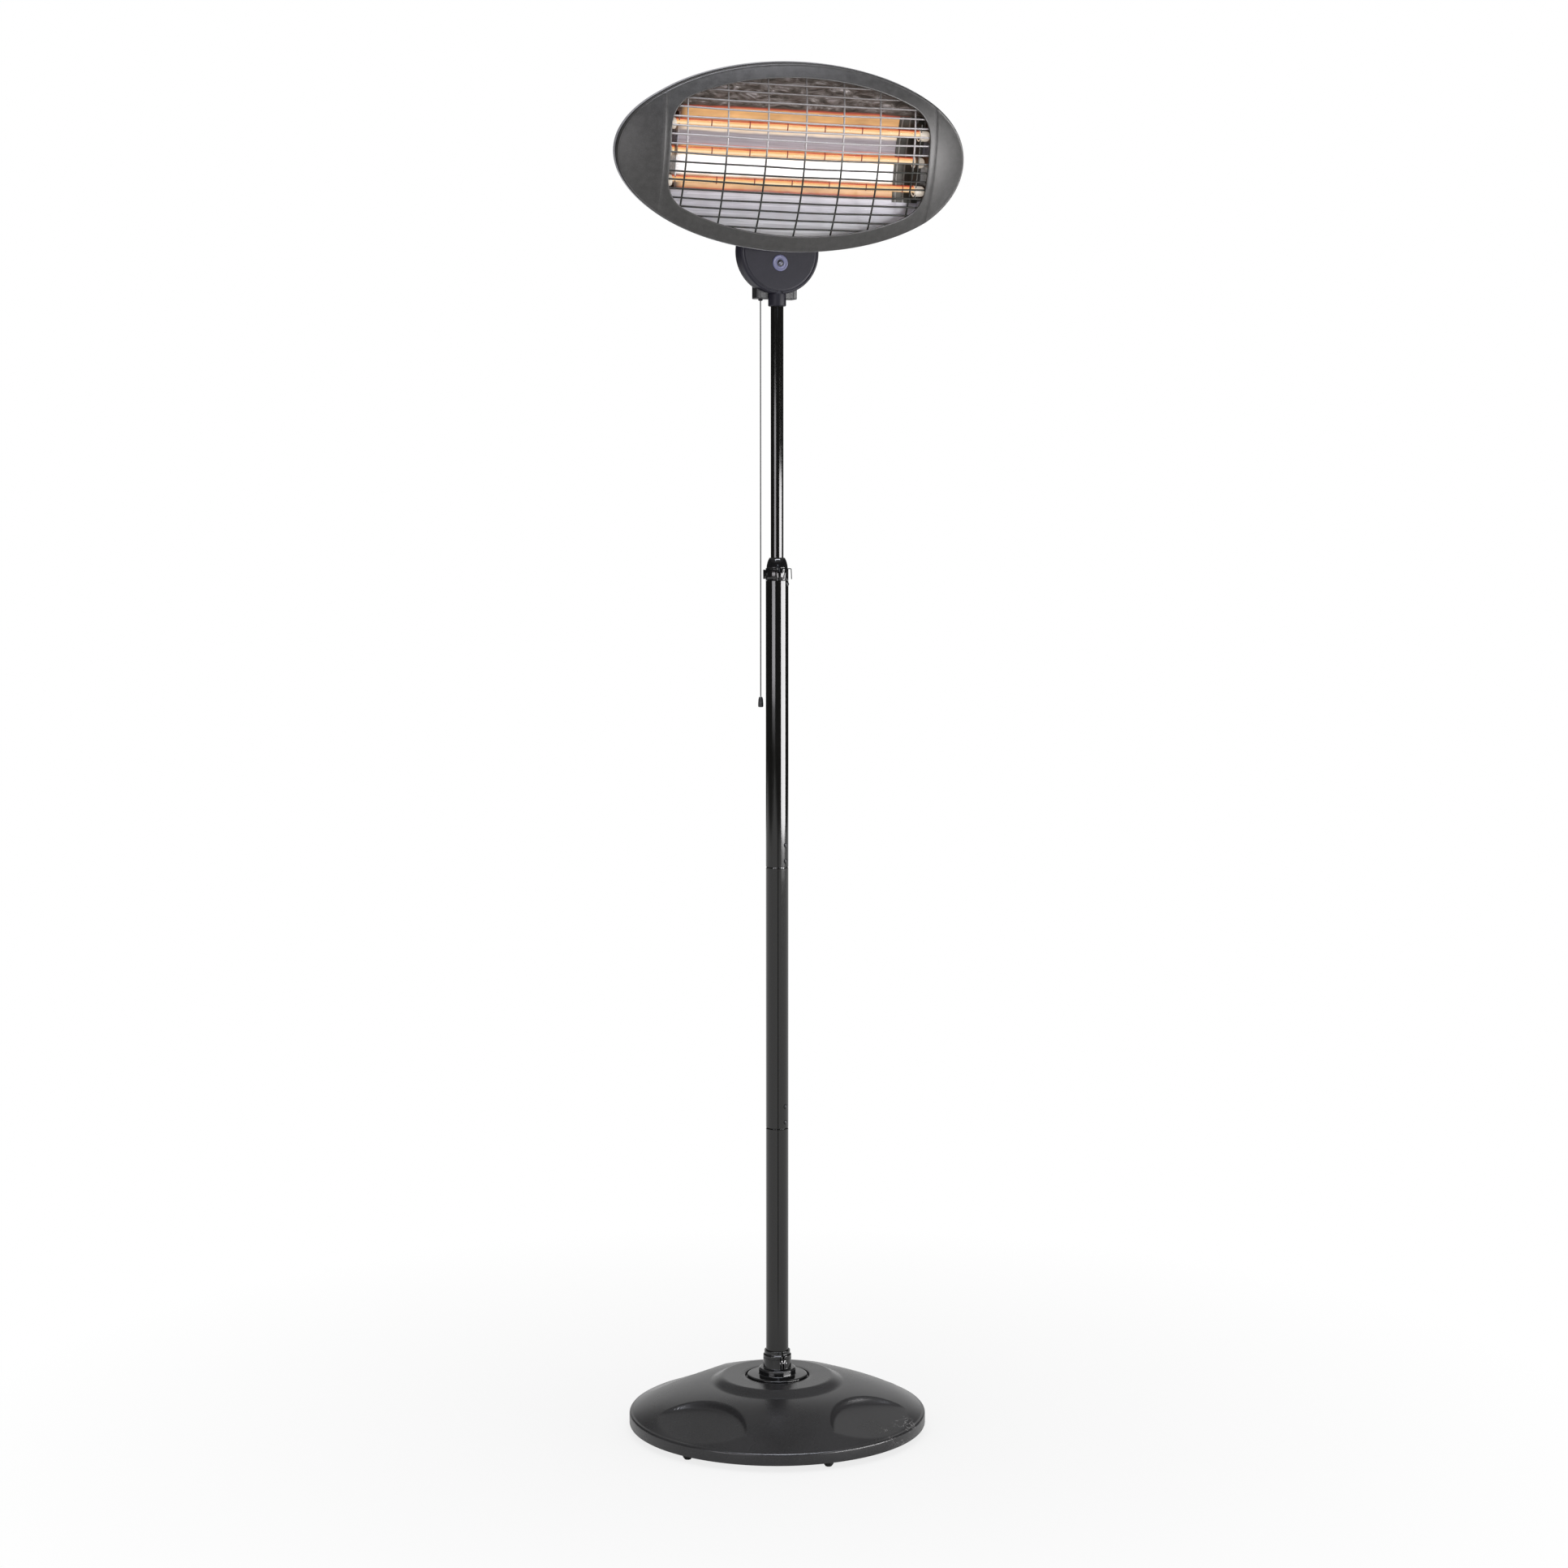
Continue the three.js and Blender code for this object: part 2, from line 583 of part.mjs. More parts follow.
const collarCore = turned([
  [mastBore, POLE_TOP - COLLAR_SPIGOT], [spigotR - 1, POLE_TOP - COLLAR_SPIGOT],
  [spigotR, POLE_TOP - COLLAR_SPIGOT + 2], [spigotR, bandZ],
  [COLLAR_CORE_R, bandZ], [COLLAR_CORE_R, bandTop], [DOME_BASE_R, bandTop],
  [DOME_BASE_R - 0.8, bandTop + DOME_RISE * 0.4], [DOME_BASE_R - 2.4, bandTop + DOME_RISE * 0.8],
  [DOME_TOP_R, domeTop], [mastBore, domeTop],
], TUBE_FACETS);
const leverEnd = COLLAR_TURN - LEVER_ARC;
const pinRing = POLE_R - KNUCKLE_R + 0.4;
const knuckleSpan = ((KNUCKLE_R + FIT) / pinRing) * (180 / Math.PI);
const bandFrom = COLLAR_TURN + knuckleSpan + 1;
const bandTo = leverEnd - 3 + 360;
const band = slabZ(sector(COLLAR_CORE_R - 0.5, POLE_R, bandFrom, bandTo), bandZ, bandTop, 11);
const [pinX, pinY] = polar(pinRing, COLLAR_TURN);
const leverZ = bandZ + EAR_LEAF + FIT;
const leverTop = bandTop - EAR_LEAF - FIT;
const knucklePocket = rod(KNUCKLE_R + FIT, leverZ - FIT, leverTop + FIT, 12)
  .translate([pinX, pinY, 0]);
function hingeEar(from, to) {
  const root = block(COLLAR_CORE_R - 1.5, pinRing, -KNUCKLE_R, KNUCKLE_R, from, to);
  return root.rotate([0, 0, COLLAR_TURN])
    .add(rod(KNUCKLE_R, from, to, 12).translate([pinX, pinY, 0]));
}
const pinHole = rod(PIN_R + FIT, bandZ + 0.8, bandTop + 3, 8).translate([pinX, pinY, 0]);
const stopHole = radialHole(stopZ, STOP_TURN, SCREW_SHANK_R + FIT);

// The hook: a thin tab that leaves the band's top and hangs down beside it.
const hookProfile = shapeOf([
  [POLE_R - 1, bandTop - 0.2], [POLE_R + HOOK_OUT - 1, bandTop - 0.2],
  [POLE_R + HOOK_OUT, bandTop - 1.2], [POLE_R + HOOK_OUT + 0.6, bandZ + 2],
  [POLE_R + HOOK_OUT + 0.6 - HOOK_THICK, bandZ + 2],
  [POLE_R + HOOK_OUT - HOOK_THICK, bandTop - 0.2 - HOOK_THICK],
  [POLE_R - 1, bandTop - 0.2 - HOOK_THICK],
]);
const hook = slabY(hookProfile, -4, 4).rotate([0, 0, HOOK_TURN]);

place('collar_body', collarCore.add(band).subtract(knucklePocket)
  .add(hingeEar(bandZ, bandZ + EAR_LEAF)).add(hingeEar(bandTop - EAR_LEAF, bandTop))
  .add(hook).subtract(pinHole).subtract(stopHole), 'gloss');

const leverInner = COLLAR_CORE_R + FIT;
const leverArm = slabZ(sector(leverInner, POLE_R, leverEnd, COLLAR_TURN), leverZ, leverTop, 8);
const tab = slabZ(sector(leverInner + 1, POLE_R + TAB_OUT, leverEnd - 1, leverEnd + 9),
  leverZ, leverTop, 3);
const knuckle = rod(KNUCKLE_R, leverZ, leverTop, 12).translate([pinX, pinY, 0]);
const leverPinHole = rod(PIN_R + FIT, leverZ - 1, leverTop + 1, 8).translate([pinX, pinY, 0]);
place('collar_lever', leverArm.add(tab).add(knuckle).subtract(leverPinHole), 'gloss');
place('lever_pin', rod(PIN_R, bandZ + 0.8 + FIT, bandTop + 1.4, 8)
  .translate([pinX, pinY, 0]), 'steel');

// ---------------------------------------------------------------- inner pole

const mastTop = SOCKET_FOOT + SOCKET_DEEP - FIT;
// Fully drawn out, the bush stops just under the collar's spigot.
const mastFoot = POLE_TOP - COLLAR_SPIGOT - FIT - BUSH_H;
place('inner_tube', pipe(MAST_R - MAST_WALL, MAST_R, mastFoot, mastTop, 20), 'gloss');
place('guide_bush', turned([
  [MAST_R - MAST_WALL, mastFoot - FIT - BUSH_LIP], [spigotR, mastFoot - FIT - BUSH_LIP],
  [spigotR, mastFoot + BUSH_H], [mastBore, mastFoot + BUSH_H],
  [mastBore, mastFoot - FIT], [MAST_R - MAST_WALL, mastFoot - FIT],
], SLEEVE_FACETS), 'rubber');

// ---------------------------------------------------------------- neck housing

function neckOutline(grow) {
  const r = NECK_R + grow;
  const start = (Math.asin((NECK_TOP + grow) / r) * 180) / Math.PI;
  const shape = new THREE.Shape();
  shape.absarc(0, NECK_Z, r, rad(180 - start), rad(360 + start), false);
  return shape;
}

// One moulded half, from the parting plane outward along the direction of -Y.
function neckHalf() {
  const plate = slabY(neckOutline(0), -NECK_HALF + NECK_ROUND, -FIT / 2, NECK_FACETS);
  const crown = slabY(neckOutline(-NECK_ROUND * 0.35), -NECK_HALF + NECK_ROUND * 0.3,
    -NECK_HALF + NECK_ROUND, NECK_FACETS);
  const cap = slabY(neckOutline(-NECK_ROUND), -NECK_HALF, -NECK_HALF + NECK_ROUND * 0.3, NECK_FACETS);
  const boss = turned([
    [0, SOCKET_FOOT], [SOCKET_R - 1.2, SOCKET_FOOT], [SOCKET_R, SOCKET_FOOT + 1.4],
    [SOCKET_R, SOCKET_FOOT + SOCKET_DEEP * 0.65], [SOCKET_R - 2, SOCKET_FOOT + SOCKET_DEEP * 0.85],
    [SOCKET_R - 6, SOCKET_FOOT + SOCKET_DEEP], [0, SOCKET_FOOT + SOCKET_DEEP + 1],
  ], 20);
  const front = block(-NECK_R * 2, NECK_R * 2, -NECK_R, -FIT / 2, SOCKET_FOOT - 5, PIVOT_Z);
  return plate.add(crown).add(cap).add(boss.intersect(front));
}

function tiltEar(side) {
  const shape = new THREE.Shape();
  const foot = NECK_Z + NECK_TOP - 6;
  shape.moveTo(-NECK_HALF + 0.5, foot);
  shape.lineTo(NECK_HALF - 0.5, foot);
  shape.lineTo(EAR_R, PIVOT_Z);
  shape.absarc(0, PIVOT_Z, EAR_R, 0, Math.PI, false);
  const [from, to] = side > 0 ? [EAR_IN, EAR_IN + EAR_T] : [-EAR_IN - EAR_T, -EAR_IN];
  return slabX(shape, from, to, 8);
}

const socketBore = rod(mastBore, SOCKET_FOOT - 1, SOCKET_FOOT + SOCKET_DEEP, 20);
const tiltHole = alongX(rod(TILT_BOLT_R + FIT, -40, 40, 12)).translate([0, 0, PIVOT_Z]);
const badgeZ = NECK_Z - BADGE_DROP;
const badgeHole = alongFront(rod(3 + FIT, 0, NECK_HALF + 2, 10)).translate([0, 0, badgeZ]);
const earFrontHalf = block(-40, 40, -40, -FIT / 2, 0, PIVOT_Z + 40);

place('neck_front', neckHalf().subtract(socketBore).subtract(badgeHole), 'neck');

const box = block(-BOX_HALF, BOX_HALF, FIT / 2, BOX_BACK, BOX_FOOT, BOX_TOP);
const guideHole = rod(GUIDE_R - 1 + FIT, BOX_FOOT - 1, BOX_FOOT + 10, 10)
  .translate([CORD_X, CORD_Y, 0]);
const threadHole = alongFront(rod(2.2, -8, 2, 10)).translate([0, 0, badgeZ]);
const glandZ = BOX_TOP - 14;
const glandHole = alongFront(rod(GLAND_R - 2.5, -BOX_BACK - 1, -BOX_BACK + 6, 12))
  .translate([BOX_HALF - 14, 0, glandZ]);
const ears = tiltEar(1).add(tiltEar(-1)).subtract(earFrontHalf);
const socketScrewZ = SOCKET_FOOT + SOCKET_SCREW_UP;
const socketScrewHole = alongFront(rod(1.6 + FIT, -SOCKET_R - 2, -MAST_R + 1, 8))
  .translate([0, 0, socketScrewZ]);
place('neck_rear', neckHalf().rotate([0, 0, 180]).add(box).add(ears)
  .subtract(socketBore).subtract(guideHole).subtract(threadHole).subtract(glandHole)
  .subtract(tiltHole).subtract(socketScrewHole), 'neck');

place('badge_ring', alongFront(turned([
  [BADGE_HOLE_R, 0], [BADGE_R, 0], [BADGE_R, BADGE_T * 0.6], [BADGE_R - 1.2, BADGE_T],
  [BADGE_HOLE_R, BADGE_T],
], 18)).translate([0, -NECK_HALF - FIT, badgeZ]), 'badge');
place('badge_screw', alongFront(screw(BADGE_HOLE_R - 0.6, 1.2, 1.9, NECK_HALF + 5))
  .translate([0, -NECK_HALF - FIT, badgeZ]), 'steel');
place('socket_screw', alongFront(screw(2.8, 1.8, 1.6, 2.6).rotate([180, 0, 0]))
  .translate([0, SOCKET_R + FIT, socketScrewZ]), 'steel');
place('neck_gland', alongFront(turned([
  [3.2, -BOX_BACK + 4], [GLAND_R - 2.5 - FIT, -BOX_BACK + 4], [GLAND_R - 2.5 - FIT, -BOX_BACK - FIT],
  [GLAND_R, -BOX_BACK - FIT], [GLAND_R, -BOX_BACK - 6], [GLAND_R - 2, -BOX_BACK - GLAND_L],
  [3.2, -BOX_BACK - GLAND_L],
], 10)).translate([BOX_HALF - 14, 0, glandZ]), 'rubber');

// tilt bolt with a lobed hand knob on its right end
const earOut = EAR_IN + EAR_T;
const boltBody = alongX(rod(TILT_BOLT_R, -earOut - FIT, earOut + KNOB_T - 3, 12))
  .add(alongX(rod(TILT_BOLT_R + 3, -earOut - FIT - 4, -earOut - FIT, 6)));
place('tilt_bolt', boltBody.translate([0, 0, PIVOT_Z]), 'steel');
const lobes = [];
for (let i = 0; i < KNOB_LOBES; i++) {
  const [y, z] = polar(KNOB_R - 4, (360 * i) / KNOB_LOBES);
  lobes.push(rod(4, earOut + FIT, earOut + KNOB_T, 6).translate([z, y, 0]));
}
const knobBody = union(lobes).add(rod(KNOB_R - 3, earOut + FIT, earOut + KNOB_T, 12));
place('tilt_knob', alongX(knobBody.subtract(rod(TILT_BOLT_R + FIT, earOut - 1, earOut + KNOB_T - 2, 12)))
  .translate([0, 0, PIVOT_Z]), 'black');

// ---------------------------------------------------------------- pull switch

place('pull_guide', turned([
  [CORD_R + 0.5, BOX_FOOT - GUIDE_H], [GUIDE_R - 0.8, BOX_FOOT - GUIDE_H],
  [GUIDE_R, BOX_FOOT - GUIDE_H + 1], [GUIDE_R, BOX_FOOT - FIT],
  [GUIDE_R - 1, BOX_FOOT - FIT], [GUIDE_R - 1, BOX_FOOT + 6], [CORD_R + 0.5, BOX_FOOT + 6],
], 10).translate([CORD_X, CORD_Y, 0]), 'neck');
const cordTop = BOX_FOOT + 3;
const cordFoot = BOX_FOOT - PULL_LENGTH;
place('pull_cord', rod(CORD_R, cordFoot, cordTop, 8).translate([CORD_X, CORD_Y, 0]), 'cord');
const pullTop = cordFoot - FIT;
place('pull_knob', turned([
  [0, pullTop - PULL_H], [PULL_R - 0.5, pullTop - PULL_H], [PULL_R, pullTop - PULL_H + 1],
  [PULL_R * 0.86, pullTop - 1.2], [PULL_R * 0.62, pullTop], [0, pullTop],
], 10).translate([CORD_X, CORD_Y, 0]), 'black');

// ---------------------------------------------------------------- face

// How far the face lies behind its foremost point at (x, z).
function faceDepth(x, z) {
  const ax = Math.abs(x);
  const arc = (u, r) => r - Math.sqrt(r * r - u * u);
  const bow = arc(Math.min(Math.abs(z), BOW_Z * 0.9), BOW_Z);
  if (ax <= CREASE) return bow + arc(ax, BOW_X);
  const w = ax - CREASE;
  const full = FACE_A - CREASE;
  const bend = (TIP_SWEEP - arc(CREASE, BOW_X) - END_SLOPE * full) / (full * full);
  return bow + arc(CREASE, BOW_X) + END_SLOPE * w + bend * w * w;
}

// The layer of the curved face between two depths behind its surface.
function layer(front, back) {
  const xs = [];
  for (let i = 0; i <= FACETS_END; i++) xs.push(-FACE_A - 4 + ((FACE_A + 4 - CREASE) * i) / FACETS_END);
  for (let i = 1; i < FACETS_X; i++) xs.push(-CREASE + (2 * CREASE * i) / FACETS_X);
  for (let i = 0; i <= FACETS_END; i++) xs.push(CREASE + ((FACE_A + 4 - CREASE) * i) / FACETS_END);
  const zs = [];
  for (let i = 0; i <= FACETS_Z; i++) zs.push((FACE_B + 4) * ((2 * i) / FACETS_Z - 1));
  const [nx, nz] = [xs.length, zs.length];
  const at = [];
  for (const offset of [front, back]) {
    for (const z of zs) for (const x of xs) at.push(x, faceDepth(x, z) + offset, z);
  }
  const tri = [];
  const id = (k, j, i) => (k * nz + j) * nx + i;
  const quad = (a, b, c, d) => tri.push(a, b, c, a, c, d);
  for (let j = 0; j < nz - 1; j++) {
    for (let i = 0; i < nx - 1; i++) {
      quad(id(0, j, i), id(0, j, i + 1), id(0, j + 1, i + 1), id(0, j + 1, i));
      quad(id(1, j, i), id(1, j + 1, i), id(1, j + 1, i + 1), id(1, j, i + 1));
    }
  }
  for (let i = 0; i < nx - 1; i++) {
    quad(id(0, 0, i), id(1, 0, i), id(1, 0, i + 1), id(0, 0, i + 1));
    quad(id(0, nz - 1, i), id(0, nz - 1, i + 1), id(1, nz - 1, i + 1), id(1, nz - 1, i));
  }
  for (let j = 0; j < nz - 1; j++) {
    quad(id(0, j, 0), id(0, j + 1, 0), id(1, j + 1, 0), id(1, j, 0));
    quad(id(0, j, nx - 1), id(1, j, nx - 1), id(1, j + 1, nx - 1), id(0, j + 1, nx - 1));
  }
  const geometry = new THREE.BufferGeometry();
  geometry.setAttribute('position', new THREE.Float32BufferAttribute(at, 3));
  geometry.setIndex(tri);
  return solid(geometry);
}

const DEEP = 140;
const oval = (inset) => slabY(ellipse(FACE_A - inset, FACE_B - inset), -10, DEEP);
// The middle and the first angle of the corner between an oval and its straight side.
function windowCorner(a, b, side, radius) {
  let [low, high] = [Math.acos(Math.min(side / a, 0.99)), Math.PI / 2];
  let corner;
  for (let i = 0; i < 40; i++) {
    const t = (low + high) / 2;
    const normal = Math.atan2(Math.sin(t) / b, Math.cos(t) / a);
    corner = [a * Math.cos(t) - radius * Math.cos(normal), b * Math.sin(t) - radius * Math.sin(normal)];
    if (corner[0] > side - radius) low = t;
    else high = t;
    corner.push((t * 180) / Math.PI, (normal * 180) / Math.PI);
  }
  return corner;
}

// The window's outline grown by a lap: an oval cut off straight at its ends, with round corners.
function windowOutline(lap) {
  const [a, b, side] = [WINDOW_A + lap, WINDOW_B + lap, WINDOW_SIDE + lap];
  const radius = WINDOW_ROUND + lap;
  const [cx, cz, leave, normal] = windowCorner(a, b, side, radius);
  const quarter = [];
  for (let i = 0; i < SIDE_STEPS; i++) quarter.push([side, (cz * i) / SIDE_STEPS]);
  for (let i = 0; i < CORNER_STEPS; i++) {
    const [dx, dz] = polar(radius, (normal * i) / CORNER_STEPS);
    quarter.push([cx + dx, cz + dz]);
  }
  for (let i = 0; i <= ARC_STEPS / 2; i++) {
    const [c, z] = polar(1, leave + ((90 - leave) * i) / (ARC_STEPS / 2));
    quarter.push([a * c, b * z]);
  }
  const half = [...quarter, ...quarter.slice(0, -1).reverse().map(([x, z]) => [-x, z])];
  const whole = [...half, ...half.slice(1, -1).reverse().map(([x, z]) => [x, -z])];
  return whole.map(([x, z]) => [x, WINDOW_RISE + z]);
}

// A strip along that outline, between two depths given as functions of x and z.
function windowStrip(lap, width, front, back) {
  const [outer, inner] = [windowOutline(lap), windowOutline(lap - width)];
  const count = outer.length;
  const at = [];
  for (let i = 0; i < count; i++) {
    for (const [x, z] of [outer[i], inner[i]]) at.push(x, front(x, z), z, x, back(x, z), z);
  }
  const tri = [];
  for (let i = 0; i < count; i++) {
    const [p, q] = [4 * i, 4 * ((i + 1) % count)];
    for (const [a, b] of [[0, 1], [1, 3], [3, 2], [2, 0]]) {
      tri.push(p + a, q + a, q + b, p + a, q + b, p + b);
    }
  }
  const geometry = new THREE.BufferGeometry();
  geometry.setAttribute('position', new THREE.Float32BufferAttribute(at, 3));
  geometry.setIndex(tri);
  return solid(geometry);
}

const windowTool = (lap) => slabY(shapeOf(windowOutline(lap)), -10, DEEP);
const faceSkin = layer(0, FACE_T).intersect(oval(0).subtract(windowTool(0)));
const faceRim = layer(0, FLANGE_D).intersect(oval(0).subtract(oval(FACE_T)));
place('face_frame', faceSkin.add(faceRim), 'grey', face);

// ---------------------------------------------------------------- wire grille

// The face's flat facets lie behind its true curve by up to this much.
const FACET_SAG = (2 * CREASE / FACETS_X) ** 2 / (8 * BOW_X)
  + (2 * (FACE_B + 4) / FACETS_Z) ** 2 / (8 * BOW_Z);
const rowDepth = FACE_T + FACET_SAG + FIT + WIRE_R;
const columnDepth = rowDepth + 2 * WIRE_R + WIRE_GAP;

// A path that is straight between its points, so that an extrusion bends only there.
class BentPath extends THREE.Curve {
  constructor(points) {
    super();
    this.points = points;
  }

  getPoint(t, target = new THREE.Vector3()) {
    const last = this.points.length - 1;
    const i = Math.min(Math.floor(t * last + 1e-9), last - 1);
    return target.lerpVectors(this.points[i], this.points[i + 1], t * last - i);
  }

  getPointAt(u, target) {
    return this.getPoint(u, target);
  }

  getTangentAt(u, target) {
    return this.getTangent(u, target);
  }
}

function wire(points) {
  const section = new THREE.Shape();
  for (let i = 0; i < WIRE_SIDES; i++) {
    const [x, y] = polar(WIRE_R, (360 * (i + 0.5)) / WIRE_SIDES);
    if (i === 0) section.moveTo(x, y);
    else section.lineTo(x, y);
  }
  section.closePath();
  const geometry = new THREE.ExtrudeGeometry(section, {
    steps: points.length - 1, extrudePath: new BentPath(points), bevelEnabled: false,
  });
  return solid(geometry);
}

// Half length of a wire that ends on the grille's outline, for a row (axis 1) or a column (axis 0).
const grilleOutline = windowOutline(GRILLE_LAP);
function reachAt(axis, place) {
  const middle = axis === 0 ? WINDOW_RISE : 0;
  let reach = 0;
  for (let i = 0; i < grilleOutline.length; i++) {
    const [p, q] = [grilleOutline[i], grilleOutline[(i + 1) % grilleOutline.length]];
    if ((p[axis] - place) * (q[axis] - place) > 0 || p[axis] === q[axis]) continue;
    const t = (place - p[axis]) / (q[axis] - p[axis]);
    reach = Math.max(reach, p[1 - axis] + t * (q[1 - axis] - p[1 - axis]) - middle);
  }
  return reach;
}

// The bends of a wire: its ends and its crossings with the other set's wires, or every
// third of them.
function bends(reach, centre, count, pitch, stride = 1) {
  const inside = [];
  for (let i = 0; i < count; i += stride) {
    const u = centre + (i - (count - 1) / 2) * pitch;
    if (Math.abs(u - centre) < reach - 3) inside.push(u);
  }
  return [centre - reach, ...inside, centre + reach];
}

function grille() {
  const wires = [];
  for (const z of bends(Infinity, WINDOW_RISE, ROWS, ROW_PITCH).slice(1, -1)) {
    const xs = bends(reachAt(1, z) - HOOP_W / 2, 0, COLUMNS, COLUMN_PITCH);
    wires.push(wire(xs.map((x) => new THREE.Vector3(x, faceDepth(x, z) + rowDepth, z))));
  }
  for (const x of bends(Infinity, 0, COLUMNS, COLUMN_PITCH).slice(1, -1)) {
    const zs = bends(reachAt(0, x) - HOOP_W / 2, WINDOW_RISE, ROWS, ROW_PITCH, 3);
    wires.push(wire(zs.map((z) => new THREE.Vector3(x, faceDepth(x, z) + columnDepth, z))));
  }
  const hoop = windowStrip(GRILLE_LAP, HOOP_W,
    (x, z) => faceDepth(x, z) + rowDepth - WIRE_R,
    (x, z) => faceDepth(x, z) + columnDepth + WIRE_R);
  return union(wires).add(hoop);
}
place('wire_grille', grille(), 'steel', face);

// ---------------------------------------------------------------- rear shell

// The shell's surface: a short wall at the rim, then a dome toward the back.
function shellSkin(inset, mouth, domeSteps) {
  const rings = [mouth, FLANGE_D + SHELL_WALL];
  const at = [];
  const a = FACE_A + FIT + SHELL_T - inset;
  const b = FACE_B + FIT + SHELL_T - inset;
  const depth = SHELL_DEPTH - inset;
  for (const ring of rings) {
    for (let i = 0; i < OVAL_TURNS; i++) {
      const [c, s] = polar(1, (360 * i) / OVAL_TURNS);
      at.push(a * c, faceDepth(FACE_A * c, FACE_B * s) + ring, b * s);
    }
  }
  for (let k = 1; k < domeSteps; k++) {
    const [shrink, rise] = polar(1, (90 * k) / domeSteps);
    for (let i = 0; i < OVAL_TURNS; i++) {
      const [c, s] = polar(1, (360 * i) / OVAL_TURNS);
      const wall = faceDepth(FACE_A * c, FACE_B * s) + FLANGE_D + SHELL_WALL;
      at.push(a * c * shrink, wall + (depth - wall) * rise, b * s * shrink);
    }
  }
  const levels = domeSteps + 1;
  at.push(0, depth, 0, 0, mouth, 0);
  const back = levels * OVAL_TURNS;
  const front = back + 1;
  const tri = [];
  for (let i = 0; i < OVAL_TURNS; i++) {
    const j = (i + 1) % OVAL_TURNS;
    for (let k = 0; k < levels - 1; k++) {
      const [p, q] = [k * OVAL_TURNS, (k + 1) * OVAL_TURNS];
      tri.push(p + i, q + i, q + j, p + i, q + j, p + j);
    }
    tri.push((levels - 1) * OVAL_TURNS + i, back, (levels - 1) * OVAL_TURNS + j);
    tri.push(i, j, front);
  }
  const geometry = new THREE.BufferGeometry();
  geometry.setAttribute('position', new THREE.Float32BufferAttribute(at, 3));
  geometry.setIndex(tri);
  return solid(geometry);
}

const shellMouth = FLANGE_D - SHELL_LAP;
const behindPad = (depth) => block(-FACE_A, FACE_A, depth, DEEP, -FACE_B, FACE_B);
const shellOuter = shellSkin(0, shellMouth, 5).subtract(behindPad(PAD_DEPTH));
const shellInner = shellSkin(SHELL_T, shellMouth - 8, 4).subtract(behindPad(PAD_DEPTH - SHELL_T));
const vents = [];
for (let i = 0; i < VENT_COUNT; i++) {
  const x = (i - (VENT_COUNT - 1) / 2) * VENT_PITCH;
  vents.push(block(x - VENT_W / 2, x + VENT_W / 2, 40, DEEP, VENT_Z, VENT_Z + VENT_H));
}
const bracketHoles = [-BRACKET_SCREW_X, BRACKET_SCREW_X].map((x) =>
  alongFront(rod(1.6 + FIT, -DEEP, -PAD_DEPTH + 6, 8)).translate([x, 0, BRACKET_SCREW_Z]));
const headGlandX = -64;
const headGlandZ = -14;
const headGlandHole = alongFront(rod(GLAND_R - 2.5, -DEEP, -PAD_DEPTH + 6, 12))
  .translate([headGlandX, 0, headGlandZ]);
place('rear_shell', shellOuter.subtract(shellInner).subtract(union(vents))
  .subtract(union(bracketHoles)).subtract(headGlandHole), 'shell', face);

// ---------------------------------------------------------------- reflector and lamps

// The trough's depth at a height: a parabola from its middle to its edges.
function troughDepth(z) {
  const t = (z - WINDOW_RISE) / REFLECTOR_HALF;
  return REFLECTOR_DEEP - (REFLECTOR_DEEP - REFLECTOR_EDGE) * t * t;
}

function troughShape(offset, thickness) {
  const steps = 10;
  const front = [];
  const back = [];
  for (let i = 0; i <= steps; i++) {
    const z = WINDOW_RISE - REFLECTOR_HALF + (2 * REFLECTOR_HALF * i) / steps;
    front.push([troughDepth(z) + offset, z]);
    back.unshift([troughDepth(z) + offset + thickness, z]);
  }
  return shapeOf([...front, ...back]);
}
// The trough ends in a rim that stands up behind the grille's hoop.
const rimLap = GRILLE_LAP - 1;
const trough = slabX(troughShape(0, REFLECTOR_T), -FACE_A, FACE_A).intersect(windowTool(rimLap));
const troughRim = windowStrip(rimLap, REFLECTOR_T,
  (x, z) => faceDepth(x, z) + columnDepth + WIRE_R + FIT,
  (x, z) => troughDepth(z) + REFLECTOR_T / 2);
place('reflector', trough.add(troughRim), 'mirror', face);

const lampZ = (k) => LAMP_RISE + k * LAMP_PITCH;
const lampDepth = (k) => LAMP_DEEP - LAMP_STEP * Math.abs(k);
const lampNames = { 1: 'upper', 0: 'middle', '-1': 'lower' };
const capFrom = LAMP_HALF + FIT;
const capTo = capFrom + CAP_L;
for (const k of [1, 0, -1]) {
  const name = lampNames[k];
  place(`lamp_${name}`, alongX(rod(LAMP_R, -LAMP_HALF, LAMP_HALF, 10))
    .translate([0, lampDepth(k), lampZ(k)]), 'glass', face);
  for (const side of [-1, 1]) {
    const cap = turned([
      [0, capFrom], [CAP_R, capFrom], [CAP_R, capTo - 2], [CAP_R - 2, capTo], [0, capTo],
    ], 8);
    place(`cap_${name}_${side < 0 ? 'l' : 'r'}`, alongX(cap).scale([side, 1, 1])
      .translate([0, lampDepth(k), lampZ(k)]), 'ceramic', face);
  }
}

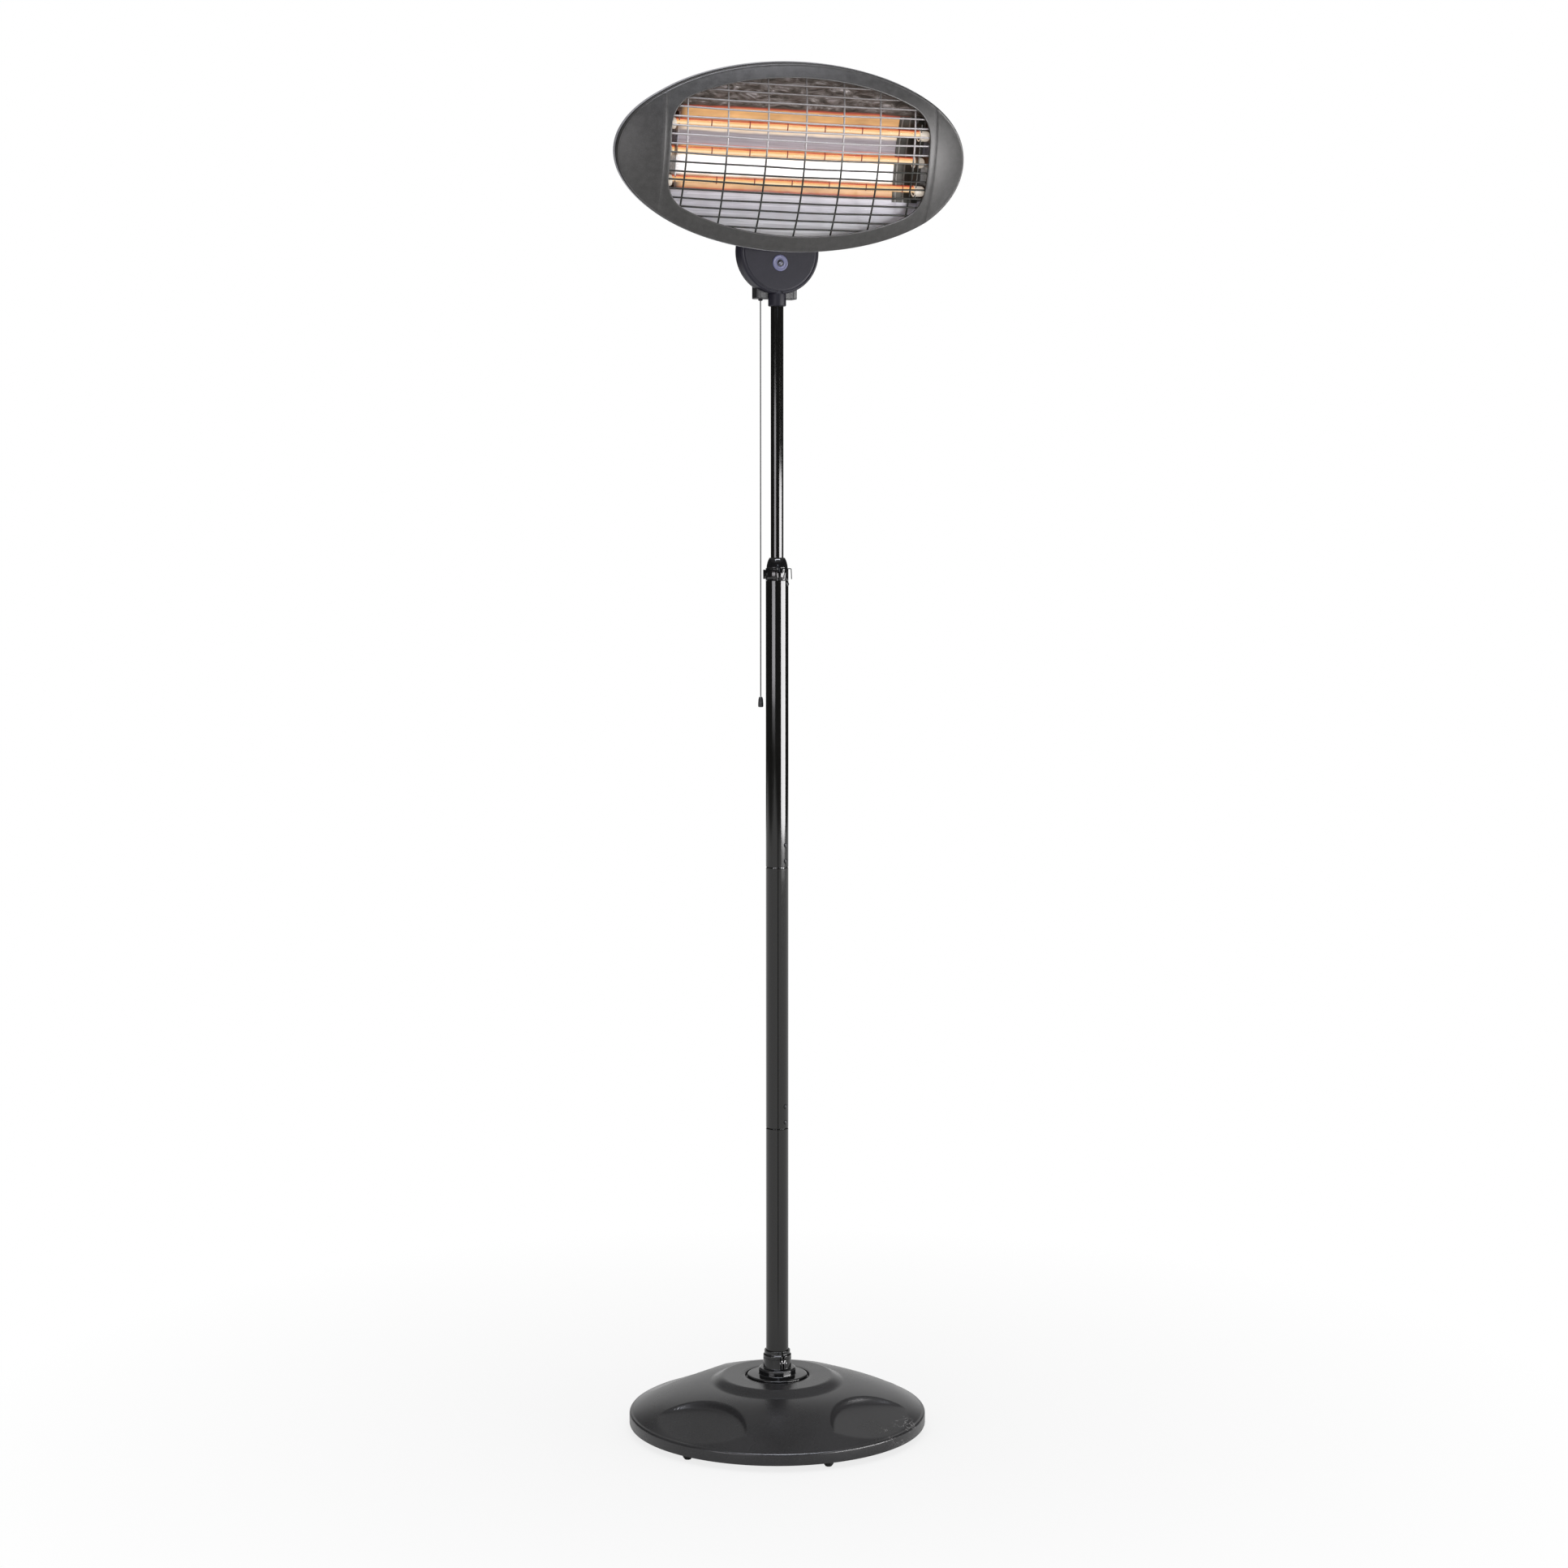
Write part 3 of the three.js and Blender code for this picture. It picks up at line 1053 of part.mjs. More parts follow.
// A holder: a curved plate in front of the trough and an end wall with three notches.
function holder(side) {
  const wallX = capTo - CAP_L / 2;
  const plate = slabX(troughShape(-FIT - HOLDER_T, HOLDER_T), HOLDER_IN, HOLDER_OUT)
    .intersect(block(HOLDER_IN, HOLDER_OUT, 0, DEEP, lampZ(-1) - 22, lampZ(1) + 22))
    .intersect(windowTool(rimLap - REFLECTOR_T - FIT));
  const points = [];
  const back = [];
  for (let i = 0; i <= 6; i++) {
    const z = lampZ(-1) - 14 + ((lampZ(1) - lampZ(-1) + 28) * i) / 6;
    points.push([troughDepth(z) - FIT - HOLDER_T / 2, z]);
    back.unshift([Math.min(lampDepth(0), troughDepth(z) - HOLDER_T) - 16, z]);
  }
  const wall = slabX(shapeOf([...points, ...back]), wallX, wallX + HOLDER_T);
  let body = plate.add(wall);
  for (const k of [-1, 0, 1]) {
    body = body.subtract(alongX(rod(CAP_R + FIT, wallX - 20, wallX + 20, 8))
      .translate([0, lampDepth(k), lampZ(k)]));
  }
  return body.scale([side, 1, 1]);
}
place('holder_right', holder(1), 'steel', face);
place('holder_left', holder(-1), 'steel', face);

// ---------------------------------------------------------------- tilt bracket

function bracket() {
  const from = PAD_DEPTH + FIT;
  const plate = block(-BRACKET_HALF, BRACKET_HALF, from, from + ARM_T, BRACKET_FOOT, BRACKET_TOP);
  const shape = new THREE.Shape();
  shape.moveTo(from, BRACKET_TOP - 8);
  shape.lineTo(from, BRACKET_FOOT);
  shape.lineTo(APEX_AHEAD - EAR_R + 1, -APEX_ABOVE);
  shape.absarc(APEX_AHEAD, -APEX_ABOVE, EAR_R - 1, Math.PI, 2 * Math.PI, false);
  shape.lineTo(APEX_AHEAD + EAR_R - 1, -APEX_ABOVE + 8);
  const reach = EAR_IN - FIT;
  const right = slabX(shape, reach - ARM_T, reach, 8);
  const left = slabX(shape, -reach, -reach + ARM_T, 8);
  const hole = alongX(rod(TILT_BOLT_R + FIT, -40, 40, 12))
    .translate([0, APEX_AHEAD, -APEX_ABOVE]);
  return plate.add(right).add(left).subtract(hole).subtract(union(bracketHoles));
}
place('tilt_bracket', bracket(), 'black', face);
[-BRACKET_SCREW_X, BRACKET_SCREW_X].forEach((x, i) => {
  const body = alongFront(screw(3.4, 2, 1.6, ARM_T + SHELL_T + 2).rotate([180, 0, 0]));
  place(`bracket_screw_${i + 1}`, body
    .translate([x, PAD_DEPTH + ARM_T + 2 * FIT, BRACKET_SCREW_Z]), 'steel', face);
});
place('head_gland', alongFront(turned([
  [3.2, -PAD_DEPTH + 3], [GLAND_R - 2.5 - FIT, -PAD_DEPTH + 3],
  [GLAND_R - 2.5 - FIT, -PAD_DEPTH - FIT], [GLAND_R, -PAD_DEPTH - FIT],
  [GLAND_R, -PAD_DEPTH - 6], [GLAND_R - 2, -PAD_DEPTH - GLAND_L], [3.2, -PAD_DEPTH - GLAND_L],
], 10)).translate([headGlandX, 0, headGlandZ]), 'rubber', face);

export default heater;
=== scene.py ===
# Infrared patio heater tower, dressed for rendering. Shapes are in millimetres. Materials, lights
# and the camera's place are in metres.
import json
from math import acos, asin, atan2, cos, degrees, hypot, pi, radians, sin, sqrt
import bpy
import bmesh
from mathutils import Matrix, Vector

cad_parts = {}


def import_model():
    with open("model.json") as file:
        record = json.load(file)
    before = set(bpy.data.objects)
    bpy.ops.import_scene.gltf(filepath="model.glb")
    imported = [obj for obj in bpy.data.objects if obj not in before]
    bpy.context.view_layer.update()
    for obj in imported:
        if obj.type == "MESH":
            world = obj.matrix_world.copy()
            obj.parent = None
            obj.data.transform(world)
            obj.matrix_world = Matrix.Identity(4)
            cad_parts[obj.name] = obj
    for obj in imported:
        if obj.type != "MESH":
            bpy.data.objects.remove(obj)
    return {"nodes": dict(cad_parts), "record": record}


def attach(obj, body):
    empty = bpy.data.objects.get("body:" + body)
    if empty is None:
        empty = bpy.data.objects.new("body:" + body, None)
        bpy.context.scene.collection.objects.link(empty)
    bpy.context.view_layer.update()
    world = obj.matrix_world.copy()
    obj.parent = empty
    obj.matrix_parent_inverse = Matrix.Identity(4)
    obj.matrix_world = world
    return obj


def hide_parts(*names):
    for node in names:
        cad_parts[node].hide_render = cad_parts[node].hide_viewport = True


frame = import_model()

scene = bpy.context.scene
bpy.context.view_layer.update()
MM = 0.001


# ---- camera

CAMERA_DIP, CAMERA_TURN = 4.81, 21.1345     # degrees below the horizon and right of the Y axis
FOCAL, PHOTO_SIDE, SENSOR = 3620, 1932, 36  # pixels, pixels and millimetres

camera = bpy.data.objects.new("camera", bpy.data.cameras.new("camera"))
scene.collection.objects.link(camera)
scene.camera = camera
camera.location = (-1.5711, -4.0928, 1.351)
camera.rotation_euler = (radians(90 - CAMERA_DIP), 0, radians(-CAMERA_TURN))
camera.data.sensor_width = SENSOR
camera.data.lens = SENSOR * FOCAL / PHOTO_SIDE
camera.data.clip_end = 100


# ---- node materials

class Nodes:
    """A short way to write a material's nodes."""

    def __init__(self, name, world=None):
        owner = world or bpy.data.materials.new(name)
        owner.use_nodes = True
        self.owner = owner
        self.tree = owner.node_tree
        self.tree.nodes.clear()

    def add(self, kind, inputs=None, **settings):
        node = self.tree.nodes.new("ShaderNode" + kind)
        for key, value in settings.items():
            setattr(node, key, value)
        for key, value in (inputs or {}).items():
            if isinstance(value, bpy.types.NodeSocket):
                self.tree.links.new(value, node.inputs[key])
            else:
                node.inputs[key].default_value = value
        return node

    def value(self, kind, inputs, **settings):
        return self.add(kind, inputs, **settings).outputs[0]

    def coords(self, scale=(1, 1, 1)):
        at = self.add("TexCoord").outputs["Object"]
        if scale == (1, 1, 1):
            return at
        return self.value("Mapping", {"Vector": at, "Scale": scale})

    def noise(self, scale, detail=3.0, rough=0.5, at=None, distortion=0.0):
        return self.add("TexNoise", {
            "Vector": at or self.coords(), "Scale": scale, "Detail": detail,
            "Roughness": rough, "Distortion": distortion}).outputs["Fac"]

    def ramp(self, value, stops):
        node = self.add("ValToRGB", {"Fac": value})
        elements = node.color_ramp.elements
        while len(elements) < len(stops):
            elements.new(0.5)
        for element, (place, colour) in zip(elements, stops):
            element.position = place
            if not isinstance(colour, (tuple, list)):
                colour = (colour, colour, colour)
            element.color = (*colour, 1)
        return node.outputs["Color"]

    def math(self, operation, a, b=0.0, clamp=False):
        return self.value("Math", {0: a, 1: b}, operation=operation,
                        use_clamp=clamp)

    def plus(self, a, b, clamp=False):
        return self.math("ADD", a, b, clamp)

    def minus(self, a, b):
        return self.math("SUBTRACT", a, b)

    def times(self, a, b, clamp=False):
        return self.math("MULTIPLY", a, b, clamp)

    def size(self, value):
        return self.math("ABSOLUTE", value)

    def fit(self, value, low, high, to_low=0.0, to_high=1.0):
        return self.value("MapRange", {
            "Value": value, "From Min": low, "From Max": high,
            "To Min": to_low, "To Max": to_high})

    def spread(self, noise, low=0.0, high=1.0):
        """A noise's usual values between a low and a high one."""
        return self.fit(noise, 0.3, 0.7, low, high)

    def mix(self, factor, a, b):
        node = self.add("Mix", data_type="RGBA")
        for index, value in ((0, factor), (6, a), (7, b)):
            if isinstance(value, bpy.types.NodeSocket):
                self.tree.links.new(value, node.inputs[index])
            elif index == 0:
                node.inputs[0].default_value = value
            else:
                node.inputs[index].default_value = (*value, 1)
        return node.outputs[2]

    def bump(self, height, distance, strength=1.0, normal=None):
        inputs = {"Height": height, "Distance": distance, "Strength": strength}
        if normal is not None:
            inputs["Normal"] = normal
        return self.value("Bump", inputs)

    def axes(self, at=None):
        return self.add("SeparateXYZ", {0: at or self.coords()}).outputs

    def axis_distance(self):
        """Distance from the pole's axis, in metres."""
        x, y, _ = self.axes()
        return self.math("SQRT", self.plus(self.times(x, x), self.times(y, y)))

    def surface(self, **inputs):
        named = {key.replace("_", " "): value for key, value in inputs.items()}
        for key in ("Base Color", "Emission Color"):
            if isinstance(named.get(key), tuple):
                named[key] = (*named[key], 1)
        return self.out(self.value("BsdfPrincipled", named))

    def out(self, socket):
        """Ends a material with its surface, and gives the material."""
        self.add("OutputMaterial", {"Surface": socket})
        return self.owner


def powder_coat():
    """Satin black powder coat: fine grain, faint clouding, and a scuffed place at the rim."""
    n = Nodes("powder_coat")
    grain = n.noise(1100, 2)
    cloud = n.noise(9, 4)
    base = n.ramp(cloud, [(0.3, (0.018, 0.0175, 0.0185)), (0.7, (0.028, 0.0275, 0.029))])
    speck = n.ramp(grain, [(0.50, 0.0), (0.72, 1.0)])
    base = n.mix(n.times(speck, 0.4), base, (0.070, 0.069, 0.073))
    radius = n.axis_distance()
    rim = n.times(n.fit(radius, 0.196, 0.206), n.fit(radius, 0.2256, 0.2246))
    scratch = n.noise(42, 4, 0.6, n.coords((1, 1, 2.4)), 1.2)
    line = n.ramp(n.size(n.minus(scratch, 0.5)), [(0.0, 1.0), (0.005, 0.8), (0.011, 0.0)])
    away = n.add("VectorMath", {0: n.coords(), 1: (0.134, -0.172, 0.03)},
                 operation="DISTANCE").outputs["Value"]
    patch = n.times(n.fit(away, 0.048, 0.030), n.ramp(n.noise(30, 2), [(0.42, 0.0), (0.5, 1.0)]))
    chips = n.times(n.times(line, patch), rim, True)
    base = n.mix(chips, base, (0.40, 0.39, 0.39))
    rough = n.plus(n.spread(cloud, 0.24, 0.31), n.times(chips, 0.3))
    return n.surface(Base_Color=base, Roughness=rough,
                     Normal=n.bump(grain, 0.00011, 0.5, n.bump(cloud, 0.0008, 0.2)))


def gloss_enamel(name, colour=(0.0075, 0.0072, 0.0066), rough=0.05):
    """Gloss black enamel on a drawn tube: long faint waves and a little dust."""
    n = Nodes(name)
    wave = n.noise(24, 1, 0.4, n.coords((1, 1, 0.06)))
    dust = n.ramp(n.noise(420, 2), [(0.66, 0.0), (0.74, 1.0)])
    base = n.mix(n.times(dust, 0.05), colour, (0.16, 0.155, 0.15))
    return n.surface(Base_Color=base, Roughness=n.spread(n.noise(14, 3), rough, rough + 0.05),
                     Normal=n.bump(wave, 0.0002, 0.06))


def moulded(name, dark, light, rough=0.5, grain=1100.0, depth=0.00008, level=0.5,
            glow=(0, 0, 0)):
    """Moulded plastic, ceramic or rubber: fine grain, slow tone changes and any lamp light painted
    in as glow.
    """
    n = Nodes(name)
    fine = n.noise(grain, 3)
    slow = n.noise(22, 3)
    base = n.mix(n.fit(slow, 0.35, 0.65), dark, light)
    speck = tuple(min(1, c * 2.2) for c in light)
    base = n.mix(n.ramp(fine, [(0.5, 0.0), (0.8, 0.35)]), base, speck)
    return n.surface(Base_Color=base, Roughness=n.spread(slow, rough - 0.06, rough + 0.06),
                     Specular_IOR_Level=level, Emission_Color=glow,
                     Emission_Strength=n.spread(slow, 0.7, 1.0), Normal=n.bump(fine, depth, 0.6))


def metallic_paint():
    """Satin grey metallic paint of the face: flakes and a soft mottle."""
    n = Nodes("metallic_paint")
    flake = n.noise(1500, 1)
    mottle = n.noise(120, 4)
    base = n.mix(n.spread(mottle), (0.048, 0.0465, 0.045), (0.064, 0.062, 0.060))
    base = n.mix(n.ramp(flake, [(0.55, 0.0), (0.78, 0.45)]), base, (0.15, 0.148, 0.15))
    return n.surface(Base_Color=base, Metallic=0.35, Roughness=n.spread(mottle, 0.36, 0.43),
                     Normal=n.bump(flake, 0.00006, 0.5, n.bump(n.noise(300, 2), 0.00008, 0.4)))


def bare_metal(name, colour, rough, grain=(1, 1, 1), level=0.00005, scale=500, metallic=1.0):
    """Plain or brushed metal, with its grain stretched along one axis."""
    n = Nodes(name)
    brush = n.noise(scale, 4, 0.6, n.coords(grain))
    tone = n.mix(n.spread(brush), tuple(c * 0.86 for c in colour), colour)
    return n.surface(Base_Color=tone, Metallic=metallic, Normal=n.bump(brush, level, 0.5),
                     Roughness=n.spread(brush, rough, rough + 0.1))


def reflector_sheet(name="reflector_sheet", row_frame=False):
    """The reflector, with painted reflections of the lamps and room: crinkled and dark above,
    brushed and pale below.
    """
    n = Nodes(name)
    at = n.coords()
    if row_frame:
        at = n.value("Mapping", {
            "Vector": at, "Location": tuple(FACE.translation),
            "Rotation": (radians(TILT_REST), 0, 0)}, vector_type="TEXTURE")
    x, _, z = n.axes(at)

    def stretched(scale):
        return n.value("Mapping", {"Vector": at, "Scale": scale})

    upper = n.fit(z, 0.067, 0.071)
    cell = n.add("TexVoronoi", {"Vector": stretched((0.8, 1, 1.5)), "Scale": 95.0,
                                          "Randomness": 1.0}, feature="F1").outputs["Distance"]
    crinkle = n.noise(58, 5, 0.6, stretched((0.6, 1, 1.9)), 1.4)
    brush = n.noise(260, 3, 0.6, stretched((0.03, 1, 1)))
    slow = n.noise(26, 3, 0.6, stretched((0.5, 1, 1.5)))
    ripple = n.times(n.minus(slow, 0.5), 0.006)
    level = n.fit(n.plus(z, ripple), -0.115, 0.075)
    # Painted reflections: colour bands by height stand in for the pale, dark and lavender bands
    # that the mirror shows.
    tone = n.ramp(level, [
        (0.0, (0.95, 0.96, 0.98)), (0.09, (0.86, 0.87, 0.92)), (0.20, (0.68, 0.68, 0.75)),
        (0.31, (0.50, 0.49, 0.54)), (0.335, (0.06, 0.03, 0.02)), (0.43, (0.10, 0.06, 0.05)),
        (0.455, (0.95, 0.96, 0.97)), (0.575, (0.98, 0.98, 1.0)), (0.60, (0.30, 0.18, 0.12)),
        (0.660, (0.30, 0.18, 0.12)), (0.670, (0.46, 0.45, 0.52)), (0.76, (0.44, 0.42, 0.47)),
        (0.78, (0.55, 0.45, 0.38)), (0.83, (0.20, 0.10, 0.07)), (0.96, (0.10, 0.08, 0.06))])
    # Painted reflection of the lamps: warm and red emission bands by height, where the lamps show
    # in the mirror.
    glow = n.ramp(level, [
        (0.325, (0, 0, 0)), (0.338, (0.40, 0.05, 0.01)), (0.350, (0.62, 0.30, 0.10)),
        (0.385, (0.72, 0.44, 0.20)), (0.405, (0.42, 0.06, 0.02)), (0.430, (0.50, 0.30, 0.15)),
        (0.455, (0.30, 0.30, 0.30)), (0.560, (0.32, 0.33, 0.35)), (0.585, (0.62, 0.52, 0.36)),
        (0.600, (0.75, 0.45, 0.20)), (0.655, (0.62, 0.28, 0.09)), (0.664, (0.42, 0.03, 0.01)),
        (0.671, (0.02, 0.02, 0.02)), (0.760, (0.02, 0.02, 0.02)), (0.775, (0.55, 0.45, 0.33)),
        (0.835, (0.62, 0.45, 0.25)), (0.862, (0.40, 0.08, 0.03)), (0.878, (0.70, 0.42, 0.18)),
        (0.905, (0.66, 0.35, 0.13)), (0.935, (0.72, 0.38, 0.14)), (0.948, (0.48, 0.05, 0.02)),
        (0.962, (0, 0, 0))])
    # Strength of the painted lamp reflection: mottled, and kept within the lamps' length.
    patch = n.spread(n.noise(40, 3, 0.6, stretched((0.4, 1, 1))), 0.62, 1.14)
    inside = n.fit(n.size(x), 0.178, 0.168)
    lower = n.mix(n.spread(brush), n.mix(0.16, tone, (0, 0, 0)), tone)
    # Painted reflection: dark and light flecks following the crinkle stand in for what the crinkled
    # top reflects.
    painted_crinkle_reflection = n.ramp(crinkle, [(0.36, (0.045, 0.035, 0.028)), (0.50, (0.125, 0.105, 0.092)),
                                (0.60, (0.22, 0.195, 0.185)), (0.68, (0.40, 0.37, 0.37))])
    height = n.mix(upper, n.times(brush, 0.05), n.plus(n.times(cell, 0.6), crinkle))
    return n.surface(Base_Color=n.mix(upper, lower, painted_crinkle_reflection),
                     Metallic=n.fit(upper, 0, 1, 0.12, 0.25),
                     Roughness=n.mix(upper, n.spread(brush, 0.22, 0.32), (0.34, 0.34, 0.34)),
                     Specular_IOR_Level=0.3, Emission_Color=glow,
                     Emission_Strength=n.times(patch, inside), Normal=n.bump(height, 0.0018, 0.4))


def lamp_core():
    """The glowing coil: cream, mottled with orange, and a thin red line along its top."""
    n = Nodes("lamp_core")
    z = n.axes()[2]
    patch = n.noise(34, 3, 0.6, n.coords((1, 4, 4)))
    lift = n.plus(n.fit(z, -0.0044, 0.0044), n.times(n.minus(patch, 0.5), 0.30))
    colour = n.ramp(lift, [
        (0.0, (0.55, 0.22, 0.08)), (0.10, (0.80, 0.50, 0.26)), (0.24, (0.92, 0.76, 0.52)),
        (0.44, (0.90, 0.70, 0.40)), (0.62, (0.80, 0.44, 0.16)), (0.80, (0.84, 0.42, 0.15)),
        (0.90, (0.62, 0.07, 0.02)), (1.0, (0.42, 0.02, 0.01))])
    return n.surface(Base_Color=(0.1, 0.05, 0.03), Roughness=0.6, Emission_Color=colour,
                     Emission_Strength=1.0)


def lamp_support():
    """Dark red wire rings that hold the coil in its tube."""
    n = Nodes("lamp_support")
    tone = n.mix(n.noise(300, 2), (0.16, 0.010, 0.005), (0.34, 0.025, 0.010))
    return n.surface(Base_Color=(0.05, 0.01, 0.01), Emission_Color=tone, Emission_Strength=0.8)


def grille_wire():
    """Plated grille wire, light and shade painted by height: bright in the middle, duller above,
    dark below.
    """
    n = Nodes("grille_wire")
    z = n.axes()[2]
    grain = n.noise(700, 4, 0.6)
    # Painted light and shade: the wire's colour follows its height, with a slight wobble.
    painted_light_height = n.plus(z, n.times(n.minus(n.noise(18, 3), 0.5), 0.02))
    tone = n.ramp(n.fit(painted_light_height, -0.118, 0.122), [
        (0.0, (0.026, 0.027, 0.023)), (0.44, (0.028, 0.029, 0.024)), (0.50, (0.12, 0.12, 0.11)),
        (0.56, (0.52, 0.50, 0.51)), (0.74, (0.52, 0.50, 0.51)), (0.84, (0.22, 0.205, 0.20)),
        (1.0, (0.20, 0.185, 0.18))])
    return n.surface(Base_Color=n.mix(n.spread(grain), n.mix(0.2, tone, (0, 0, 0)), tone),
                     Metallic=0.2, Roughness=n.spread(grain, 0.34, 0.44),
                     Specular_IOR_Level=0.3, Normal=n.bump(grain, 0.00003, 0.5))


def holder_plate():
    """Dark pressed holder plates with upright ribs, each with a painted highlight along it."""
    n = Nodes("holder_plate")
    out = n.times(n.size(n.axes()[0]), 1000.0)
    rib = n.size(n.minus(n.math("FRACT", n.times(out, 0.082)), 0.5))
    # Painted highlight: a pale line along each rib.
    line = n.ramp(rib, [(0.0, 1.0), (0.07, 1.0), (0.13, 0.0)])
    stain = n.noise(60, 4, 0.6, n.coords((1, 1, 0.4)))
    base = n.mix(n.spread(stain), (0.030, 0.029, 0.024), (0.075, 0.072, 0.062))
    base = n.mix(n.times(line, 0.7), base, (0.26, 0.25, 0.24))
    return n.surface(Base_Color=base, Metallic=0.4, Roughness=0.42,
                     Normal=n.bump(line, 0.0006, 0.6))


def quartz():
    """Thin quartz: clear, with gloss on its edges, a trace of haze and the coil's warm glow."""
    n = Nodes("quartz")
    haze = n.noise(90, 2, 0.5, n.coords((0.2, 1, 1)))
    clear = n.value("BsdfTransparent", {"Color": (1, 0.985, 0.96, 1)})
    gloss = n.value("BsdfGlossy", {"Color": (1, 1, 1, 1), "Roughness": 0.18})
    z = n.axes()[2]
    warm = n.ramp(n.fit(z, -0.0055, 0.0055), [
        (0.0, (0.75, 0.45, 0.22)), (0.3, (0.85, 0.62, 0.36)),
        (0.75, (0.62, 0.16, 0.04)), (1.0, (0.45, 0.05, 0.02))])
    lit = n.value("Emission", {"Color": warm, "Strength": n.spread(haze, 0.7, 1.0)})
    edge = n.add("LayerWeight", {"Blend": 0.18}).outputs["Fresnel"]
    rim = n.ramp(n.size(z), [(0.0041, 0.0), (0.0047, 0.62)])
    glow = n.value("MixShader", {0: rim, 1: clear, 2: lit})
    amount = n.plus(n.times(edge, 0.10), n.fit(haze, 0.4, 0.7, 0.0, 0.01), True)
    return n.out(n.value("MixShader", {0: amount, 1: glow, 2: gloss}))


def twisted_cord():
    """A thin dark cord with its strands laid at a slant."""
    n = Nodes("twisted_cord")
    x, y, z = n.axes()
    turn = n.math("ARCTAN2", n.minus(y, 0.011), n.plus(x, 0.022))
    lay = n.math("SINE", n.plus(n.times(z, 2600.0), n.times(turn, 3.0)))
    base = n.mix(n.fit(lay, -1, 1), (0.010, 0.010, 0.011), (0.040, 0.039, 0.038))
    return n.surface(Base_Color=base, Roughness=0.75, Normal=n.bump(lay, 0.0002, 0.6))


POWDER = powder_coat()
ENAMEL = gloss_enamel("gloss_enamel")
GLOSS = gloss_enamel("gloss_plastic", (0.009, 0.009, 0.0095), 0.07)
FACE_PAINT = metallic_paint()
SHELL = bare_metal("shell_aluminium", (0.40, 0.40, 0.42), 0.40, (0.05, 1, 1), 0.00005, 300, 0.35)
STEEL = bare_metal("bright_steel", (0.72, 0.72, 0.74), 0.22)
SCREW = bare_metal("dull_screw", (0.16, 0.16, 0.20), 0.42)
WIRE = grille_wire()
HOLDER = holder_plate()
NECK = moulded("neck_plastic", (0.013, 0.012, 0.020), (0.020, 0.0187, 0.030), 0.46, level=0.22)
BADGE = moulded("badge_plastic", (0.145, 0.150, 0.30), (0.19, 0.195, 0.36), 0.4, 1500, 0.00003)
BLACK = moulded("black_plastic", (0.010, 0.010, 0.011), (0.018, 0.018, 0.02), 0.42)
RUBBER = moulded("rubber", (0.010, 0.010, 0.010), (0.02, 0.02, 0.02), 0.8, 600, 0.0002, 0.3)
# The ceramic sockets glow with painted light: warm emission stands in for the lamps lighting them.
CERAMIC = moulded("ceramic", (0.60, 0.53, 0.44), (0.82, 0.76, 0.66), 0.42, 500, 0.0001,
                  glow=(0.34, 0.29, 0.24))
IRON = moulded("ballast_iron", (0.03, 0.028, 0.026), (0.07, 0.06, 0.055), 0.85, 300, 0.0004)
LAMP = lamp_core()
SUPPORT = lamp_support()
QUARTZ = quartz()
CORD = twisted_cord()


# ---- mesh tools

AXIS = 0.01     # the profiles of solid turned parts start this far from their axis


def mesh_piece(name, verts, faces, material, matrix=None, angle=38):
    """A smooth-shaded object from points in millimetres."""
    mesh = bpy.data.meshes.new(name)
    mesh.from_pydata([Vector(v) * MM for v in verts], [], faces)
    bm = bmesh.new()
    bm.from_mesh(mesh)
    bmesh.ops.remove_doubles(bm, verts=bm.verts, dist=1e-7)
    bmesh.ops.recalc_face_normals(bm, faces=bm.faces)
    bm.to_mesh(mesh)
    bm.free()
    mesh.shade_smooth()
    mesh.set_sharp_from_angle(angle=radians(angle))
    piece = bpy.data.objects.new(name, mesh)
    if matrix is not None:
        piece.matrix_world = matrix
    scene.collection.objects.link(piece)
    mesh.materials.append(material)
    return piece


def ring_faces(rows, count, close=False):
    """Faces between rings of count points that follow one another."""
    faces = []
    for i in range(rows if close else rows - 1):
        p, q = i * count, (i + 1) % rows * count
        for k in range(count):
            m = (k + 1) % count
            faces.append((p + k, q + k, q + m, p + m))
    return faces


def turned(profile, segments=96, centre=(0, 0)):
    """Points and faces of a closed profile of (radius, height) turned about Z."""
    verts = []
    for i in range(segments):
        c, s = cos(2 * pi * i / segments), sin(2 * pi * i / segments)
        verts += [(centre[0] + r * c, centre[1] + r * s, z) for r, z in profile]
    return verts, ring_faces(segments, len(profile), True)


def rod(radius, low, high, segments, centre=(0, 0)):
    """A plain round bar along Z."""
    return turned([(AXIS, low), (radius, low), (radius, high), (AXIS, high)], segments, centre)


def rounded(profile, radius, steps=3):
    """The closed profile with its corners rounded by short arcs."""
    out = []
    for i, (x, y) in enumerate(profile):
        here = Vector((x, y))
        a = Vector(profile[i - 1]) - here
        b = Vector(profile[(i + 1) % len(profile)]) - here
        cut = min(radius, a.length * 0.45, b.length * 0.45)
        if cut < 0.02:
            out.append((x, y))
            continue
        start, end = here + a.normalized() * cut, here + b.normalized() * cut
        for k in range(steps + 1):
            t = k / steps
            point = start * (1 - t) ** 2 + here * 2 * t * (1 - t) + end * t ** 2
            out.append((point.x, point.y))
    return out


